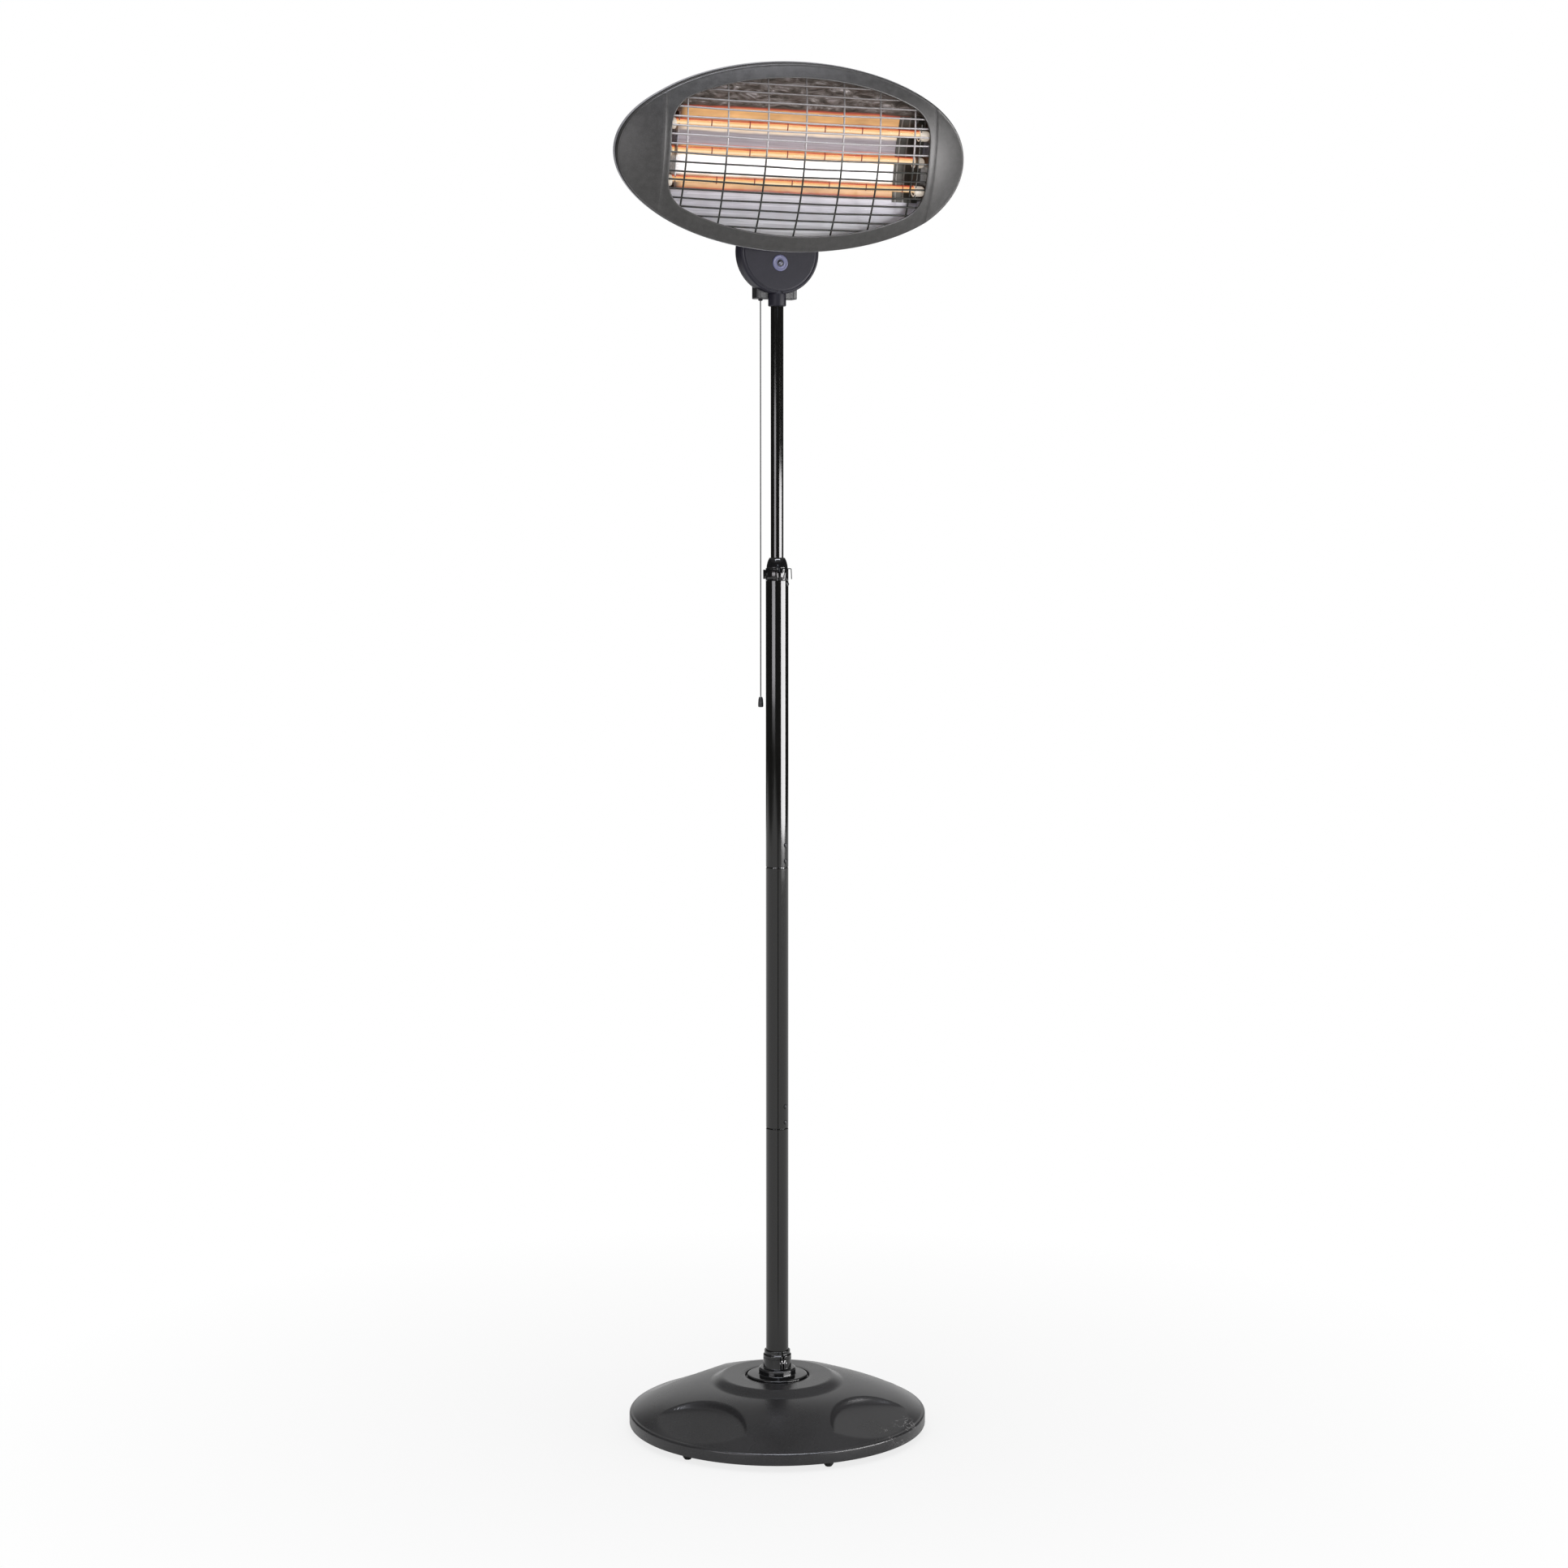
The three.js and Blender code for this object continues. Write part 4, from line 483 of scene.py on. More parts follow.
def tube_along(points, radius, sides, ends=True):
    """Points and faces of a round tube along a list of points."""
    verts = []
    path = [Vector(p) for p in points]
    up = None
    for i, point in enumerate(path):
        way = (path[min(i + 1, len(path) - 1)] - path[max(i - 1, 0)]).normalized()
        if up is None:
            up = way.orthogonal().normalized()
        up = (up - way * up.dot(way)).normalized()
        side = way.cross(up)
        for k in range(sides):
            a = 2 * pi * k / sides
            verts.append(point + (up * cos(a) + side * sin(a)) * radius)
    faces = ring_faces(len(path), sides)
    if ends:
        faces.append(tuple(range(sides)))
        faces.append(tuple(range(len(verts) - 1, len(verts) - sides - 1, -1)))
    return verts, faces


def joined(*parts):
    """Several (points, faces) pairs as one."""
    verts, faces = [], []
    for more, rings in parts:
        base = len(verts)
        verts += list(more)
        faces += [tuple(base + i for i in ring) for ring in rings]
    return verts, faces


def moved(part, matrix):
    verts, faces = part
    return [matrix @ Vector(v) for v in verts], faces


def cuboid(x0, x1, y0, y1, z0, z1):
    verts = [(x, y, z) for x in (x0, x1) for y in (y0, y1) for z in (z0, z1)]
    return verts, [(0, 1, 3, 2), (4, 6, 7, 5), (0, 4, 5, 1), (2, 3, 7, 6), (0, 2, 6, 4),
                   (1, 5, 7, 3)]


def extruded(outline, low, high, plane="z"):
    """A closed outline of (a, b) points between two levels along an axis."""
    def at(a, b, level):
        return {"z": (a, b, level), "y": (a, level, b), "x": (level, a, b)}[plane]
    count = len(outline)
    verts = [at(a, b, low) for a, b in outline] + [at(a, b, high) for a, b in outline]
    faces = [tuple(range(count)), tuple(range(2 * count - 1, count - 1, -1))]
    faces += [(i, (i + 1) % count, count + (i + 1) % count, count + i) for i in range(count)]
    return verts, faces


def cut(piece, cutters, operation="DIFFERENCE", angle=38):
    """Cuts a piece with (points, faces) parts, and keeps its smooth shading."""
    tools = []
    for verts, faces in cutters:
        tool = mesh_piece(piece.name + "_tool", verts, faces, piece.data.materials[0])
        tool.matrix_world = piece.matrix_world
        tools.append(tool)
        modifier = piece.modifiers.new("cut", "BOOLEAN")
        modifier.operation = operation
        modifier.solver = "EXACT"
        modifier.object = tool
    settle(piece, angle)
    for tool in tools:
        bpy.data.objects.remove(tool)


def settle(piece, angle=38):
    """Applies a piece's modifiers to its mesh."""
    bpy.context.view_layer.update()
    graph = bpy.context.evaluated_depsgraph_get()
    mesh = bpy.data.meshes.new_from_object(piece.evaluated_get(graph))
    piece.modifiers.clear()
    old = piece.data
    piece.data = mesh
    bpy.data.meshes.remove(old)
    mesh.shade_smooth()
    mesh.set_sharp_from_angle(angle=radians(angle))


def soften(piece, width, segments, limit):
    """Rounds a piece's edges that are sharper than a limit in degrees."""
    modifier = piece.modifiers.new("bevel", "BEVEL")
    modifier.width = width * MM
    modifier.segments = segments
    modifier.limit_method = "ANGLE"
    modifier.angle_limit = radians(limit)
    settle(piece)


def thicken(piece, thickness, angle, offset=-1):
    """Gives an open sheet its thickness, inward or, with offset 1, outward."""
    modifier = piece.modifiers.new("sheet", "SOLIDIFY")
    modifier.thickness = thickness * MM
    modifier.offset = offset
    settle(piece, angle)


def in_row_frame(piece):
    """Moves a piece's place into its mesh, so that its box is taken along the row's own axes."""
    piece.data.transform(piece.matrix_world)
    piece.matrix_world = Matrix.Identity(4)
    return piece


def stands_for(piece, body, slot, *nodes):
    """A finished piece rides on its body in place of its CAD nodes."""
    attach(piece, body)
    if nodes:
        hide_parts(*nodes)


def polar(radius, angle):
    return radius * cos(radians(angle)), radius * sin(radians(angle))


def circle(radius, centre=(0, 0), steps=32):
    angles = [2 * pi * i / steps for i in range(steps)]
    return [(centre[0] + radius * cos(a), centre[1] + radius * sin(a)) for a in angles]


def spin(angle, axis):
    return Matrix.Rotation(radians(angle), 4, axis)


def shift(*way):
    return Matrix.Translation(way)


# ---- base

FIT = 0.3
BASE_R, RIM_ROUND, SHEET = 225, 4, 1.6
PAN_Z = 8.7 + FIT
RIM_TOP = PAN_Z + 14.5
DOME_FOOT = RIM_TOP + RIM_ROUND
DOME_H, DOME_R, CONE_H, RING_R = 43.5, 101, 9, 84
CONE_FOOT = DOME_FOOT + DOME_H
RING_Z = CONE_FOOT + CONE_H
WELL_R, WELL_D = 48.5, 4.5
WELL_Z = RING_Z - WELL_D
BASE_TURN = 30
SCALLOP_R, SCALLOP_RING, SCALLOP_D = 116, 247, 9
EDGE = BASE_R - RIM_ROUND
COVER_TURNS = 432


def dome_z(r):
    t = (EDGE - r) / (EDGE - DOME_R)
    return DOME_FOOT + DOME_H * (1.7 * t - 0.7 * t * t)


def unit(t):
    return max(0.0, min(1.0, t))


def smooth_step(t):
    t = unit(t)
    return t * t * (3 - 2 * t)


def smooth_min(a, b, k):
    h = unit(0.5 + 0.5 * (b - a) / k)
    return b * (1 - h) + a * h - k * h * (1 - h)


def scallop_floor(r, angle):
    """Height of the nearest scallop's floor, or of its wall outside the floor."""
    inner = SCALLOP_RING - SCALLOP_R
    inner_z = dome_z(max(inner, DOME_R)) - SCALLOP_D
    outer_z = RIM_TOP + 4
    x, y = polar(r, (angle - BASE_TURN + 45) % 90 - 45)
    floor = inner_z - (x - inner) * (inner_z - outer_z) / (EDGE - inner)
    away = hypot(x - SCALLOP_RING, y) - (SCALLOP_R - 6)
    return floor + max(0.0, away) ** 1.4 * 0.95


def cover_height(r, angle):
    if r > EDGE:
        return RIM_TOP + sqrt(max(0.0, RIM_ROUND ** 2 - (r - EDGE) ** 2))
    if r <= DOME_R:
        t = unit((r - RING_R + 1) / (DOME_R - RING_R + 1))
        body = RING_Z - CONE_H * (0.75 * t + 0.25 * smooth_step(t))
    else:
        body = dome_z(r)
    if r > DOME_R - 8:
        wall = scallop_floor(r, angle)
        if wall < body + 6:
            body = smooth_min(body, wall, 1.2)
    return body


def base_cover():
    """The pressed cover, in rings from its middle out and down over the rim."""
    rings = [(AXIS, WELL_Z), (WELL_R - 10, WELL_Z), (WELL_R - 0.6, WELL_Z),
             (WELL_R, WELL_Z + 0.6), (WELL_R + 0.05, RING_Z - 1.4), (WELL_R + 0.5, RING_Z - 0.4),
             (WELL_R + 1.6, RING_Z)]
    cone = [RING_R - 6 + i * (DOME_R + 6 - RING_R + 6) / 16 for i in range(17)]
    dome = [cone[-1] + (EDGE - 1.5 - cone[-1]) * i / 76 for i in range(1, 77)]
    rim = [EDGE + RIM_ROUND * sin(radians(a)) for a in (0, 20, 40, 58, 74, 86, 90)]
    rings += [(r, None) for r in [WELL_R + 8, RING_R - 10] + cone + dome + rim]
    rings += [(BASE_R, PAN_Z + 1.2), (BASE_R - 0.5, PAN_Z)]
    verts = []
    for r, z in rings:
        for i in range(COVER_TURNS):
            angle = 360 * i / COVER_TURNS
            verts.append((*polar(r, angle), cover_height(r, angle) if z is None else z))
    faces = ring_faces(len(rings), COVER_TURNS)
    piece = mesh_piece("cover_shell", verts, faces, POWDER, angle=50)
    thicken(piece, SHEET, 50)
    stands_for(piece, "stand", "black_enamel", "base_cover")


base_cover()


# ---- pole socket

FLANGE_Z = WELL_Z + FIT
STEP_Z = FLANGE_Z + 6.5
CLAMP_Z = STEP_Z + 10
LIP_Z = CLAMP_Z + 21
POLE_R = 17
CLAMP_R, CLAMP_TURN = 21.3, -88


def pole_socket():
    top = LIP_Z + 6
    profile = [
        (5.3, FLANGE_Z), (45.5, FLANGE_Z), (45.5, STEP_Z - 1.2), (43.0, STEP_Z), (28.6, STEP_Z),
        (28, STEP_Z + 1), (28, CLAMP_Z - 1.4), (25.8, CLAMP_Z), (CLAMP_R + 0.6, CLAMP_Z),
        (CLAMP_R, CLAMP_Z + 0.8), (CLAMP_R, LIP_Z - 1), (19.6, LIP_Z + 0.6), (19.6, top),
        (POLE_R + FIT, top), (POLE_R + FIT, STEP_Z), (5.3, STEP_Z)]
    piece = mesh_piece("socket_moulding", *turned(rounded(profile, 0.9), 128), GLOSS)
    front = spin(CLAMP_TURN, "Z")
    lugs = moved(cuboid(POLE_R + 1, CLAMP_R + 2.6, -4, 4, CLAMP_Z + 1, LIP_Z - 1), front)
    cut(piece, [lugs], "UNION")
    split = moved(cuboid(POLE_R - 2, CLAMP_R + 4, -1.2, 1.2, CLAMP_Z + 1.5, top + 1), front)
    groove = turned([(CLAMP_R - 0.5, LIP_Z - 6.2), (CLAMP_R + 4, LIP_Z - 6.2),
                     (CLAMP_R + 4, LIP_Z - 5.4), (CLAMP_R - 0.5, LIP_Z - 5.4)], 128)
    cut(piece, [split, groove])
    soften(piece, 0.35, 2, 40)
    stands_for(piece, "stand", "gloss_plastic", "pole_socket")


pole_socket()


# ---- pole

SEAM_LOW, SEAM_HIGH, POLE_TOP = 461, 857, 1286
LIP, PLAIN = 0.9, 0.2
JOINT_TURN, STOP_TURN = -63, -51


def pole_tube(name, node, low, high, foot_lip, top_lip):
    """A length of the pole, with its open ends turned in by foot_lip and top_lip."""
    r, bore = POLE_R, POLE_R - 1.5
    profile = [(bore, low), (r - foot_lip, low), (r, low + foot_lip),
               (r, high - top_lip), (r - top_lip, high), (bore, high)]
    piece = mesh_piece(name, *turned(profile, 72), ENAMEL, angle=25)
    stands_for(piece, "stand", "gloss_enamel", node)


pole_tube("pole_lower", "tube_lower", STEP_Z + FIT, SEAM_LOW - FIT / 2, PLAIN, LIP)
pole_tube("pole_middle", "tube_middle", SEAM_LOW + FIT / 2, SEAM_HIGH - FIT / 2, LIP, LIP)
pole_tube("pole_upper", "tube_upper", SEAM_HIGH + FIT / 2, POLE_TOP, LIP, PLAIN)


def screw_head(radius, height):
    """A pan head with a round recess, standing on z = 0."""
    steps = [(0, 0.62), (0.30, 0.62), (0.34, 0.98), (0.6, 0.9), (0.86, 0.62), (1, 0.22), (1, 0),
             (0, 0)]
    profile = [(radius * r or AXIS, height * z) for r, z in steps]
    return turned(rounded(profile, 0.25, 2), 28)


def outward(angle, radius, height):
    """The place of a part whose +Z points away from the pole's axis."""
    return shift(0, 0, height) @ spin(angle, "Z") @ shift(radius, 0, 0) @ spin(90, "Y")


def pole_screw(name, node, angle, z, depth, material):
    part = joined(screw_head(3.4, 2.2), rod(1.9, -depth, 0.1, 16))
    piece = mesh_piece(name, *moved(part, outward(angle, POLE_R + FIT, z)), material)
    stands_for(piece, "stand", "black_enamel", node)


for i, z in enumerate((SEAM_LOW + 10, SEAM_LOW + 34, SEAM_HIGH + 10, SEAM_HIGH + 34)):
    pole_screw(f"pole_screw_{i + 1}", f"joint_screw_{i + 1}", JOINT_TURN, z, 3, BLACK)
pole_screw("collar_stop_screw", "stop_screw", STOP_TURN, POLE_TOP - 5, 2, GLOSS)


# ---- collar

BAND_Z = POLE_TOP + FIT
BAND_TOP = BAND_Z + 18.2
DOME_TOP = BAND_TOP + 15.6
MAST_R = 9.5
MAST_BORE = MAST_R + FIT
COLLAR_TURN = -111
LEVER_END = COLLAR_TURN - 82
KNUCKLE_R = 2.1
PIN_HOLE_R = 1.2
PIN_RING = POLE_R - KNUCKLE_R + 0.4
PIN = polar(PIN_RING, COLLAR_TURN)
LEVER_Z, LEVER_TOP = BAND_Z + 2 + FIT, BAND_TOP - 2 - FIT


def ring_sector(inner, outer, start, end, steps=40):
    points = [polar(outer, start + (end - start) * i / steps) for i in range(steps + 1)]
    points += [polar(inner, end + (start - end) * i / steps) for i in range(steps + 1)]
    return points


def collar():
    core = [(MAST_BORE, POLE_TOP - 30), (14.2, POLE_TOP - 30), (15.2, POLE_TOP - 28),
            (15.2, BAND_Z), (13.4, BAND_Z), (13.4, BAND_TOP), (15.8, BAND_TOP),
            (15.9, BAND_TOP + 1), (15.4, BAND_TOP + 5), (14.4, BAND_TOP + 9),
            (12.9, BAND_TOP + 13), (11.2, DOME_TOP), (MAST_BORE, DOME_TOP)]
    piece = mesh_piece("collar_moulding", *turned(rounded(core, 1.0), 96), GLOSS)
    start = COLLAR_TURN + degrees((KNUCKLE_R + FIT) / PIN_RING) + 1
    band = extruded(ring_sector(12.9, POLE_R, start, LEVER_END - 3 + 360), BAND_Z, BAND_TOP)
    levels = BAND_Z, BAND_TOP - 2
    ears = [extruded(circle(KNUCKLE_R, PIN), z, z + 2) for z in levels]
    ears += [moved(cuboid(11.9, PIN_RING, -KNUCKLE_R, KNUCKLE_R, z, z + 2),
                   spin(COLLAR_TURN, "Z")) for z in levels]
    hook_line = [(16, BAND_TOP - 0.2), (20.6, BAND_TOP - 0.2), (21.6, BAND_TOP - 1.2),
                 (22.2, BAND_Z + 2), (20.9, BAND_Z + 2), (20.3, BAND_TOP - 1.5),
                 (16, BAND_TOP - 1.5)]
    hook = moved(extruded(hook_line, -4, 4, "y"), spin(-22, "Z"))
    cut(piece, [band, *ears, hook], "UNION")
    stop = moved(rod(2.2, -9, 4, 24), outward(STOP_TURN, POLE_R, POLE_TOP - 5))
    pin_hole = extruded(circle(PIN_HOLE_R, PIN, 20), BAND_Z + 0.8, BAND_TOP + 3)
    grip = cuboid(POLE_R - 0.5, POLE_R + 3, -0.7, 0.7, BAND_Z + 3, BAND_TOP - 3)
    cut(piece, [stop, pin_hole, moved(grip, spin(-75, "Z"))])
    soften(piece, 0.4, 2, 40)
    stands_for(piece, "stand", "gloss_plastic", "collar_body")


def lever():
    arm = extruded(ring_sector(13.7, POLE_R, LEVER_END, COLLAR_TURN, 32), LEVER_Z, LEVER_TOP)
    piece = mesh_piece("lever_moulding", *arm, GLOSS)
    tab = ring_sector(14.7, POLE_R + 4, LEVER_END - 1, LEVER_END + 9, 8)
    cut(piece, [extruded(line, LEVER_Z, LEVER_TOP) for line in (tab, circle(KNUCKLE_R, PIN))],
        "UNION")
    cut(piece, [extruded(circle(PIN_HOLE_R, PIN, 20), LEVER_Z - 1, LEVER_TOP + 1)])
    soften(piece, 0.5, 3, 35)
    stands_for(piece, "lever", "gloss_plastic", "collar_lever")


def pin():
    profile = rounded([(AXIS, BAND_Z + 1.1), (0.9, BAND_Z + 1.1), (0.9, BAND_TOP + 0.5),
                       (1.1, BAND_TOP + 0.6), (1.1, BAND_TOP + 1.2), (AXIS, BAND_TOP + 1.4)], 0.15)
    piece = mesh_piece("hinge_pin", *turned(profile, 24, PIN), BLACK)
    stands_for(piece, "stand", "steel", "lever_pin")


collar()
lever()
pin()


# ---- inner pole

SOCKET_FOOT = 1690
MAST_TOP = SOCKET_FOOT + 27 - FIT
MAST_FOOT = POLE_TOP - 30 - FIT - 30


def inner_tube():
    r, bore = MAST_R, MAST_R - 1.4
    profile = [(bore, MAST_FOOT), (r - PLAIN, MAST_FOOT), (r, MAST_FOOT + PLAIN),
               (r, MAST_TOP - PLAIN), (r - PLAIN, MAST_TOP), (bore, MAST_TOP)]
    piece = mesh_piece("mast_tube", *turned(profile, 64), ENAMEL, angle=25)
    stands_for(piece, "mast", "gloss_enamel", "inner_tube")


inner_tube()


# ---- neck

NECK_R, NECK_HALF, NECK_Z, NECK_TOP = 61.5, 13, 1769, 30
NECK_ROUND, NECK_STEPS = 2.4, 72
BOSS_R = 13.2
PIVOT_Z, EAR_R = 1818, 11
BOX_FOOT, BOX_TOP, BOX_HALF = 1701, 1748, 32
BADGE_Z = NECK_Z - 16.5
CORD_AT = -22, 11


def neck_outline(grow):
    """The neck's outline: a round plate cut off level at its top, larger by grow."""
    r = NECK_R + grow
    start = degrees(asin((NECK_TOP + grow) / r))
    sweep = 180 + 2 * start
    spots = [polar(r, 180 - start + sweep * i / NECK_STEPS) for i in range(NECK_STEPS + 1)]
    return [(x, NECK_Z + z) for x, z in spots]


def neck_shell(sign):
    """One half of the neck: a plate with a rolled edge, in rings from the parting plane out."""
    flat = NECK_HALF - NECK_ROUND
    levels = [(0, FIT / 2), (0, flat)]
    for a in (22, 45, 68, 90):
        levels.append((-NECK_ROUND * (1 - cos(radians(a))), flat + NECK_ROUND * sin(radians(a))))
    levels += [(-3.4, NECK_HALF), (-4.2, NECK_HALF - 0.45), (-5.2, NECK_HALF - 0.45),
               (-6, NECK_HALF), (-7, NECK_HALF)]
    verts = [(x, -sign * depth, z) for grow, depth in levels for x, z in neck_outline(grow)]
    count = NECK_STEPS + 1
    faces = ring_faces(len(levels), count)
    faces.append(tuple(range(count)))
    faces.append(tuple(range(len(verts) - 1, len(verts) - count - 1, -1)))
    return verts, faces


def boss(proud=0.0):
    """The round socket that takes the inner pole. Its front and back stand out by proud."""
    foot = SOCKET_FOOT
    profile = [(AXIS, foot), (12.4, foot), (BOSS_R, foot + 1.2), (BOSS_R, foot + 17.5),
               (12.6, foot + 20), (11.2, foot + 23), (8.6, foot + 26), (4.5, foot + 28),
               (AXIS, foot + 28.6)]
    verts, faces = turned(rounded(profile, 0.8), 96)
    return [(x, y * (1 + proud / BOSS_R), z) for x, y, z in verts], faces


def socket_bore():
    return rod(MAST_BORE, SOCKET_FOOT - 2, SOCKET_FOOT + 27, 64)


def half_space(y0, y1):
    return cuboid(-80, 80, y0, y1, SOCKET_FOOT - 10, PIVOT_Z + 40)


def neck_front():
    piece = mesh_piece("neck_front_moulding", *neck_shell(1), NECK)
    cut(piece, [boss(1.4)], "UNION")
    lay = shift(0, 0, BADGE_Z) @ spin(90, "X")
    recess = moved(rod(12.6, NECK_HALF - 0.5, NECK_HALF + 4, 64), lay)
    hole = moved(rod(3.3, 0, NECK_HALF + 2, 32), lay)
    cut(piece, [socket_bore(), half_space(-FIT / 2, 80), recess, hole])
    soften(piece, 0.3, 2, 45)
    stands_for(piece, "mast", "neck_plastic", "neck_front")


def tilt_ear(low, high):
    foot = NECK_Z + NECK_TOP - 6
    line = [(0.2, foot), (NECK_HALF - 0.5, foot)]
    for a in range(0, 91, 6):
        y, z = polar(EAR_R, a)
        line.append((max(0.2, y), PIVOT_Z + z))
    return extruded(line + [(0.2, PIVOT_Z + EAR_R)], low, high, "x")


def neck_rear():
    piece = mesh_piece("neck_rear_moulding", *neck_shell(-1), NECK)
    cut(piece, [boss(), tilt_ear(8.8, 14.8), tilt_ear(-14.8, -8.8)], "UNION")
    bolt = moved(rod(4.3, -40, 40, 40), shift(0, 0, PIVOT_Z) @ spin(90, "Y"))
    cut(piece, [socket_bore(), half_space(-80, FIT / 2), bolt])
    soften(piece, 0.5, 2, 45)
    stands_for(piece, "mast", "neck_plastic", "neck_rear")


def switch_box():
    piece = mesh_piece("switch_box", *cuboid(-BOX_HALF, BOX_HALF, FIT / 2, 21, BOX_FOOT, BOX_TOP),
                       BLACK)
    soften(piece, 1.6, 4, 40)
    guide = rod(2.7, BOX_FOOT - 1, BOX_FOOT + 10, 32, CORD_AT)
    channel = turned([(AXIS, SOCKET_FOOT), (13.4, SOCKET_FOOT), (13.4, BOX_FOOT + 8),
                      (12.2, BOX_FOOT + 14), (AXIS, BOX_FOOT + 17)], 96)
    grooves = [cuboid(x - 0.4, x + 0.4, -1, 0.9, BOX_FOOT - 2, BOX_TOP + 2) for x in (-26, 26)]
    cut(piece, [guide, channel, *grooves])
    stands_for(piece, "mast", "black_plastic", "neck_rear")


def badge():
    """A plain ring round a screw, let into the neck's front."""
    lay = shift(0, -NECK_HALF - FIT + 0.5, BADGE_Z) @ spin(90, "X")
    ring = rounded([(5.2, 0), (11.9, 0), (11.9, 0.9), (10.9, 1.4), (9.8, 1.4), (9.4, 1.1),
                    (6.4, 1.1), (6.0, 1.4), (5.2, 1.0)], 0.2)
    piece = mesh_piece("badge", *moved(turned(ring), lay), BADGE)
    stands_for(piece, "mast", "badge_plastic", "badge_ring")
    seat = rounded([(AXIS, -0.4), (5.1, -0.4), (5.1, 0.2), (AXIS, 0.2)], 0.1, 2)
    piece = mesh_piece("badge_seat", *moved(turned(seat, 48), lay), BLACK)
    stands_for(piece, "mast", "black_plastic", "badge_screw")
    head = moved(screw_head(3.5, 1.7), lay @ shift(0, 0, 0.2))
    stands_for(mesh_piece("badge_button", *head, SCREW), "mast", "steel", "badge_screw")


neck_front()
neck_rear()
switch_box()
badge()


# ---- head

APEX_AHEAD, APEX_ABOVE, TILT_REST = 97.8, 95.5, 14
FACE = (shift(0, 0, PIVOT_Z * MM) @ spin(TILT_REST, "X")
        @ shift(0, -APEX_AHEAD * MM, APEX_ABOVE * MM))
FACE_A, FACE_B, CREASE = 269, 134, 209
BOW_X, BOW_Z, END_SLOPE, TIP_SWEEP = 1100, 300, 0.38, 49
FLANGE_D = 14
WINDOW_A, WINDOW_B, WINDOW_SIDE, WINDOW_ROUND, WINDOW_RISE = 243, 113, 200, 50, 2
SAME = 1e-6     # lengths that differ by less are the same
WIRE_R, ROWS, ROW_PITCH, COLUMNS, COLUMN_PITCH = 1.3, 17, 12.7, 7, 58.5
ROW_DEPTH, COLUMN_DEPTH, HOOP_R = 4.5, 6.65, 1.5
GRILLE_LAP = 8.6
LAMP_RISE, LAMP_PITCH, LAMP_DEEP, LAMP_STEP, LAMP_R = 4, 40, 44, 10, 5.5
LAMP_ENDS = -191, 186

# The reflector's materials, with reflections and the lamps' glow painted into their colour.
MIRROR = reflector_sheet()
END_MIRROR = reflector_sheet("reflector_end", True)


def arc_depth(u, radius):
    return radius - sqrt(radius * radius - u * u)


def face_depth(x, z):
    """How far the face lies behind its foremost point."""
    ax = abs(x)
    bow = arc_depth(min(abs(z), BOW_Z * 0.9), BOW_Z)
    if ax <= CREASE:
        return bow + arc_depth(ax, BOW_X)
    w, full = ax - CREASE, FACE_A - CREASE
    bend = (TIP_SWEEP - arc_depth(CREASE, BOW_X) - END_SLOPE * full) / (full * full)
    return bow + arc_depth(CREASE, BOW_X) + END_SLOPE * w + bend * w * w


def window_corner(lap):
    """Centre of the window's corner, and the angles at which its arc meets the oval."""
    a, b, side, radius = (size + lap for size in (WINDOW_A, WINDOW_B, WINDOW_SIDE, WINDOW_ROUND))
    low, high = acos(min(side / a, 0.99)), pi / 2
    for _ in range(40):
        t = (low + high) / 2
        normal = atan2(sin(t) / b, cos(t) / a)
        x, z = a * cos(t) - radius * cos(normal), b * sin(t) - radius * sin(normal)
        if x > side - radius:
            low = t
        else:
            high = t
    return x, z, t, normal


def window_z(x, lap=0.0):
    """Half height of the window at x: an oval cut off at its ends, with round corners."""
    cx, cz, leave, _ = window_corner(lap)
    a, b, radius = WINDOW_A + lap, WINDOW_B + lap, WINDOW_ROUND + lap
    if abs(x) <= a * cos(leave):
        return b * sqrt(max(0.0, 1 - (x / a) ** 2))
    return cz + sqrt(max(0.0, radius ** 2 - (abs(x) - cx) ** 2))


def window_x(z, lap=0.0):
    """Half width of the window at a height above its middle."""
    cx, cz, leave, _ = window_corner(lap)
    a, b, radius = WINDOW_A + lap, WINDOW_B + lap, WINDOW_ROUND + lap
    if abs(z) <= cz:
        return WINDOW_SIDE + lap
    if abs(z) <= b * sin(leave):
        return cx + sqrt(max(0.0, radius ** 2 - (abs(z) - cz) ** 2))
    return a * sqrt(max(0.0, 1 - (z / b) ** 2))


def corner_xs(lap=0.0, steps=14):
    """Places across the window's corners, closer together toward its sides."""
    cx, _, _, normal = window_corner(lap)
    radius = WINDOW_ROUND + lap
    right = [cx + radius * cos(normal * i / steps) for i in range(steps + 1)]
    return right + [-x for x in right]


def window_outline(lap, steps):
    """The window's outline, turning left from its right side."""
    side = window_corner(lap)[1]
    middle = WINDOW_A * 0.62
    xs = sorted(set(corner_xs(lap, steps)) | {middle * (i / 30 - 1) for i in range(61)})
    upper = [(x, WINDOW_RISE + window_z(x, lap)) for x in reversed(xs)]
    left = [(xs[0], WINDOW_RISE + side * (1 - 2 * i / 12)) for i in range(1, 12)]
    lower = [(-x, 2 * WINDOW_RISE - z) for x, z in upper]
    right = [(-x, 2 * WINDOW_RISE - z) for x, z in left]
    return upper + left + lower + right


def stations(inner, outer, middle_steps, end_steps):
    """Places from -outer to outer, closer together toward the oval's tips."""
    start = asin(inner / outer)
    ends = [outer * sin(start + (pi / 2 - start) * i / end_steps) for i in range(1, end_steps + 1)]
    middle = [inner * (2 * i / middle_steps - 1) for i in range(middle_steps + 1)]
    return [-x for x in reversed(ends)] + middle + ends


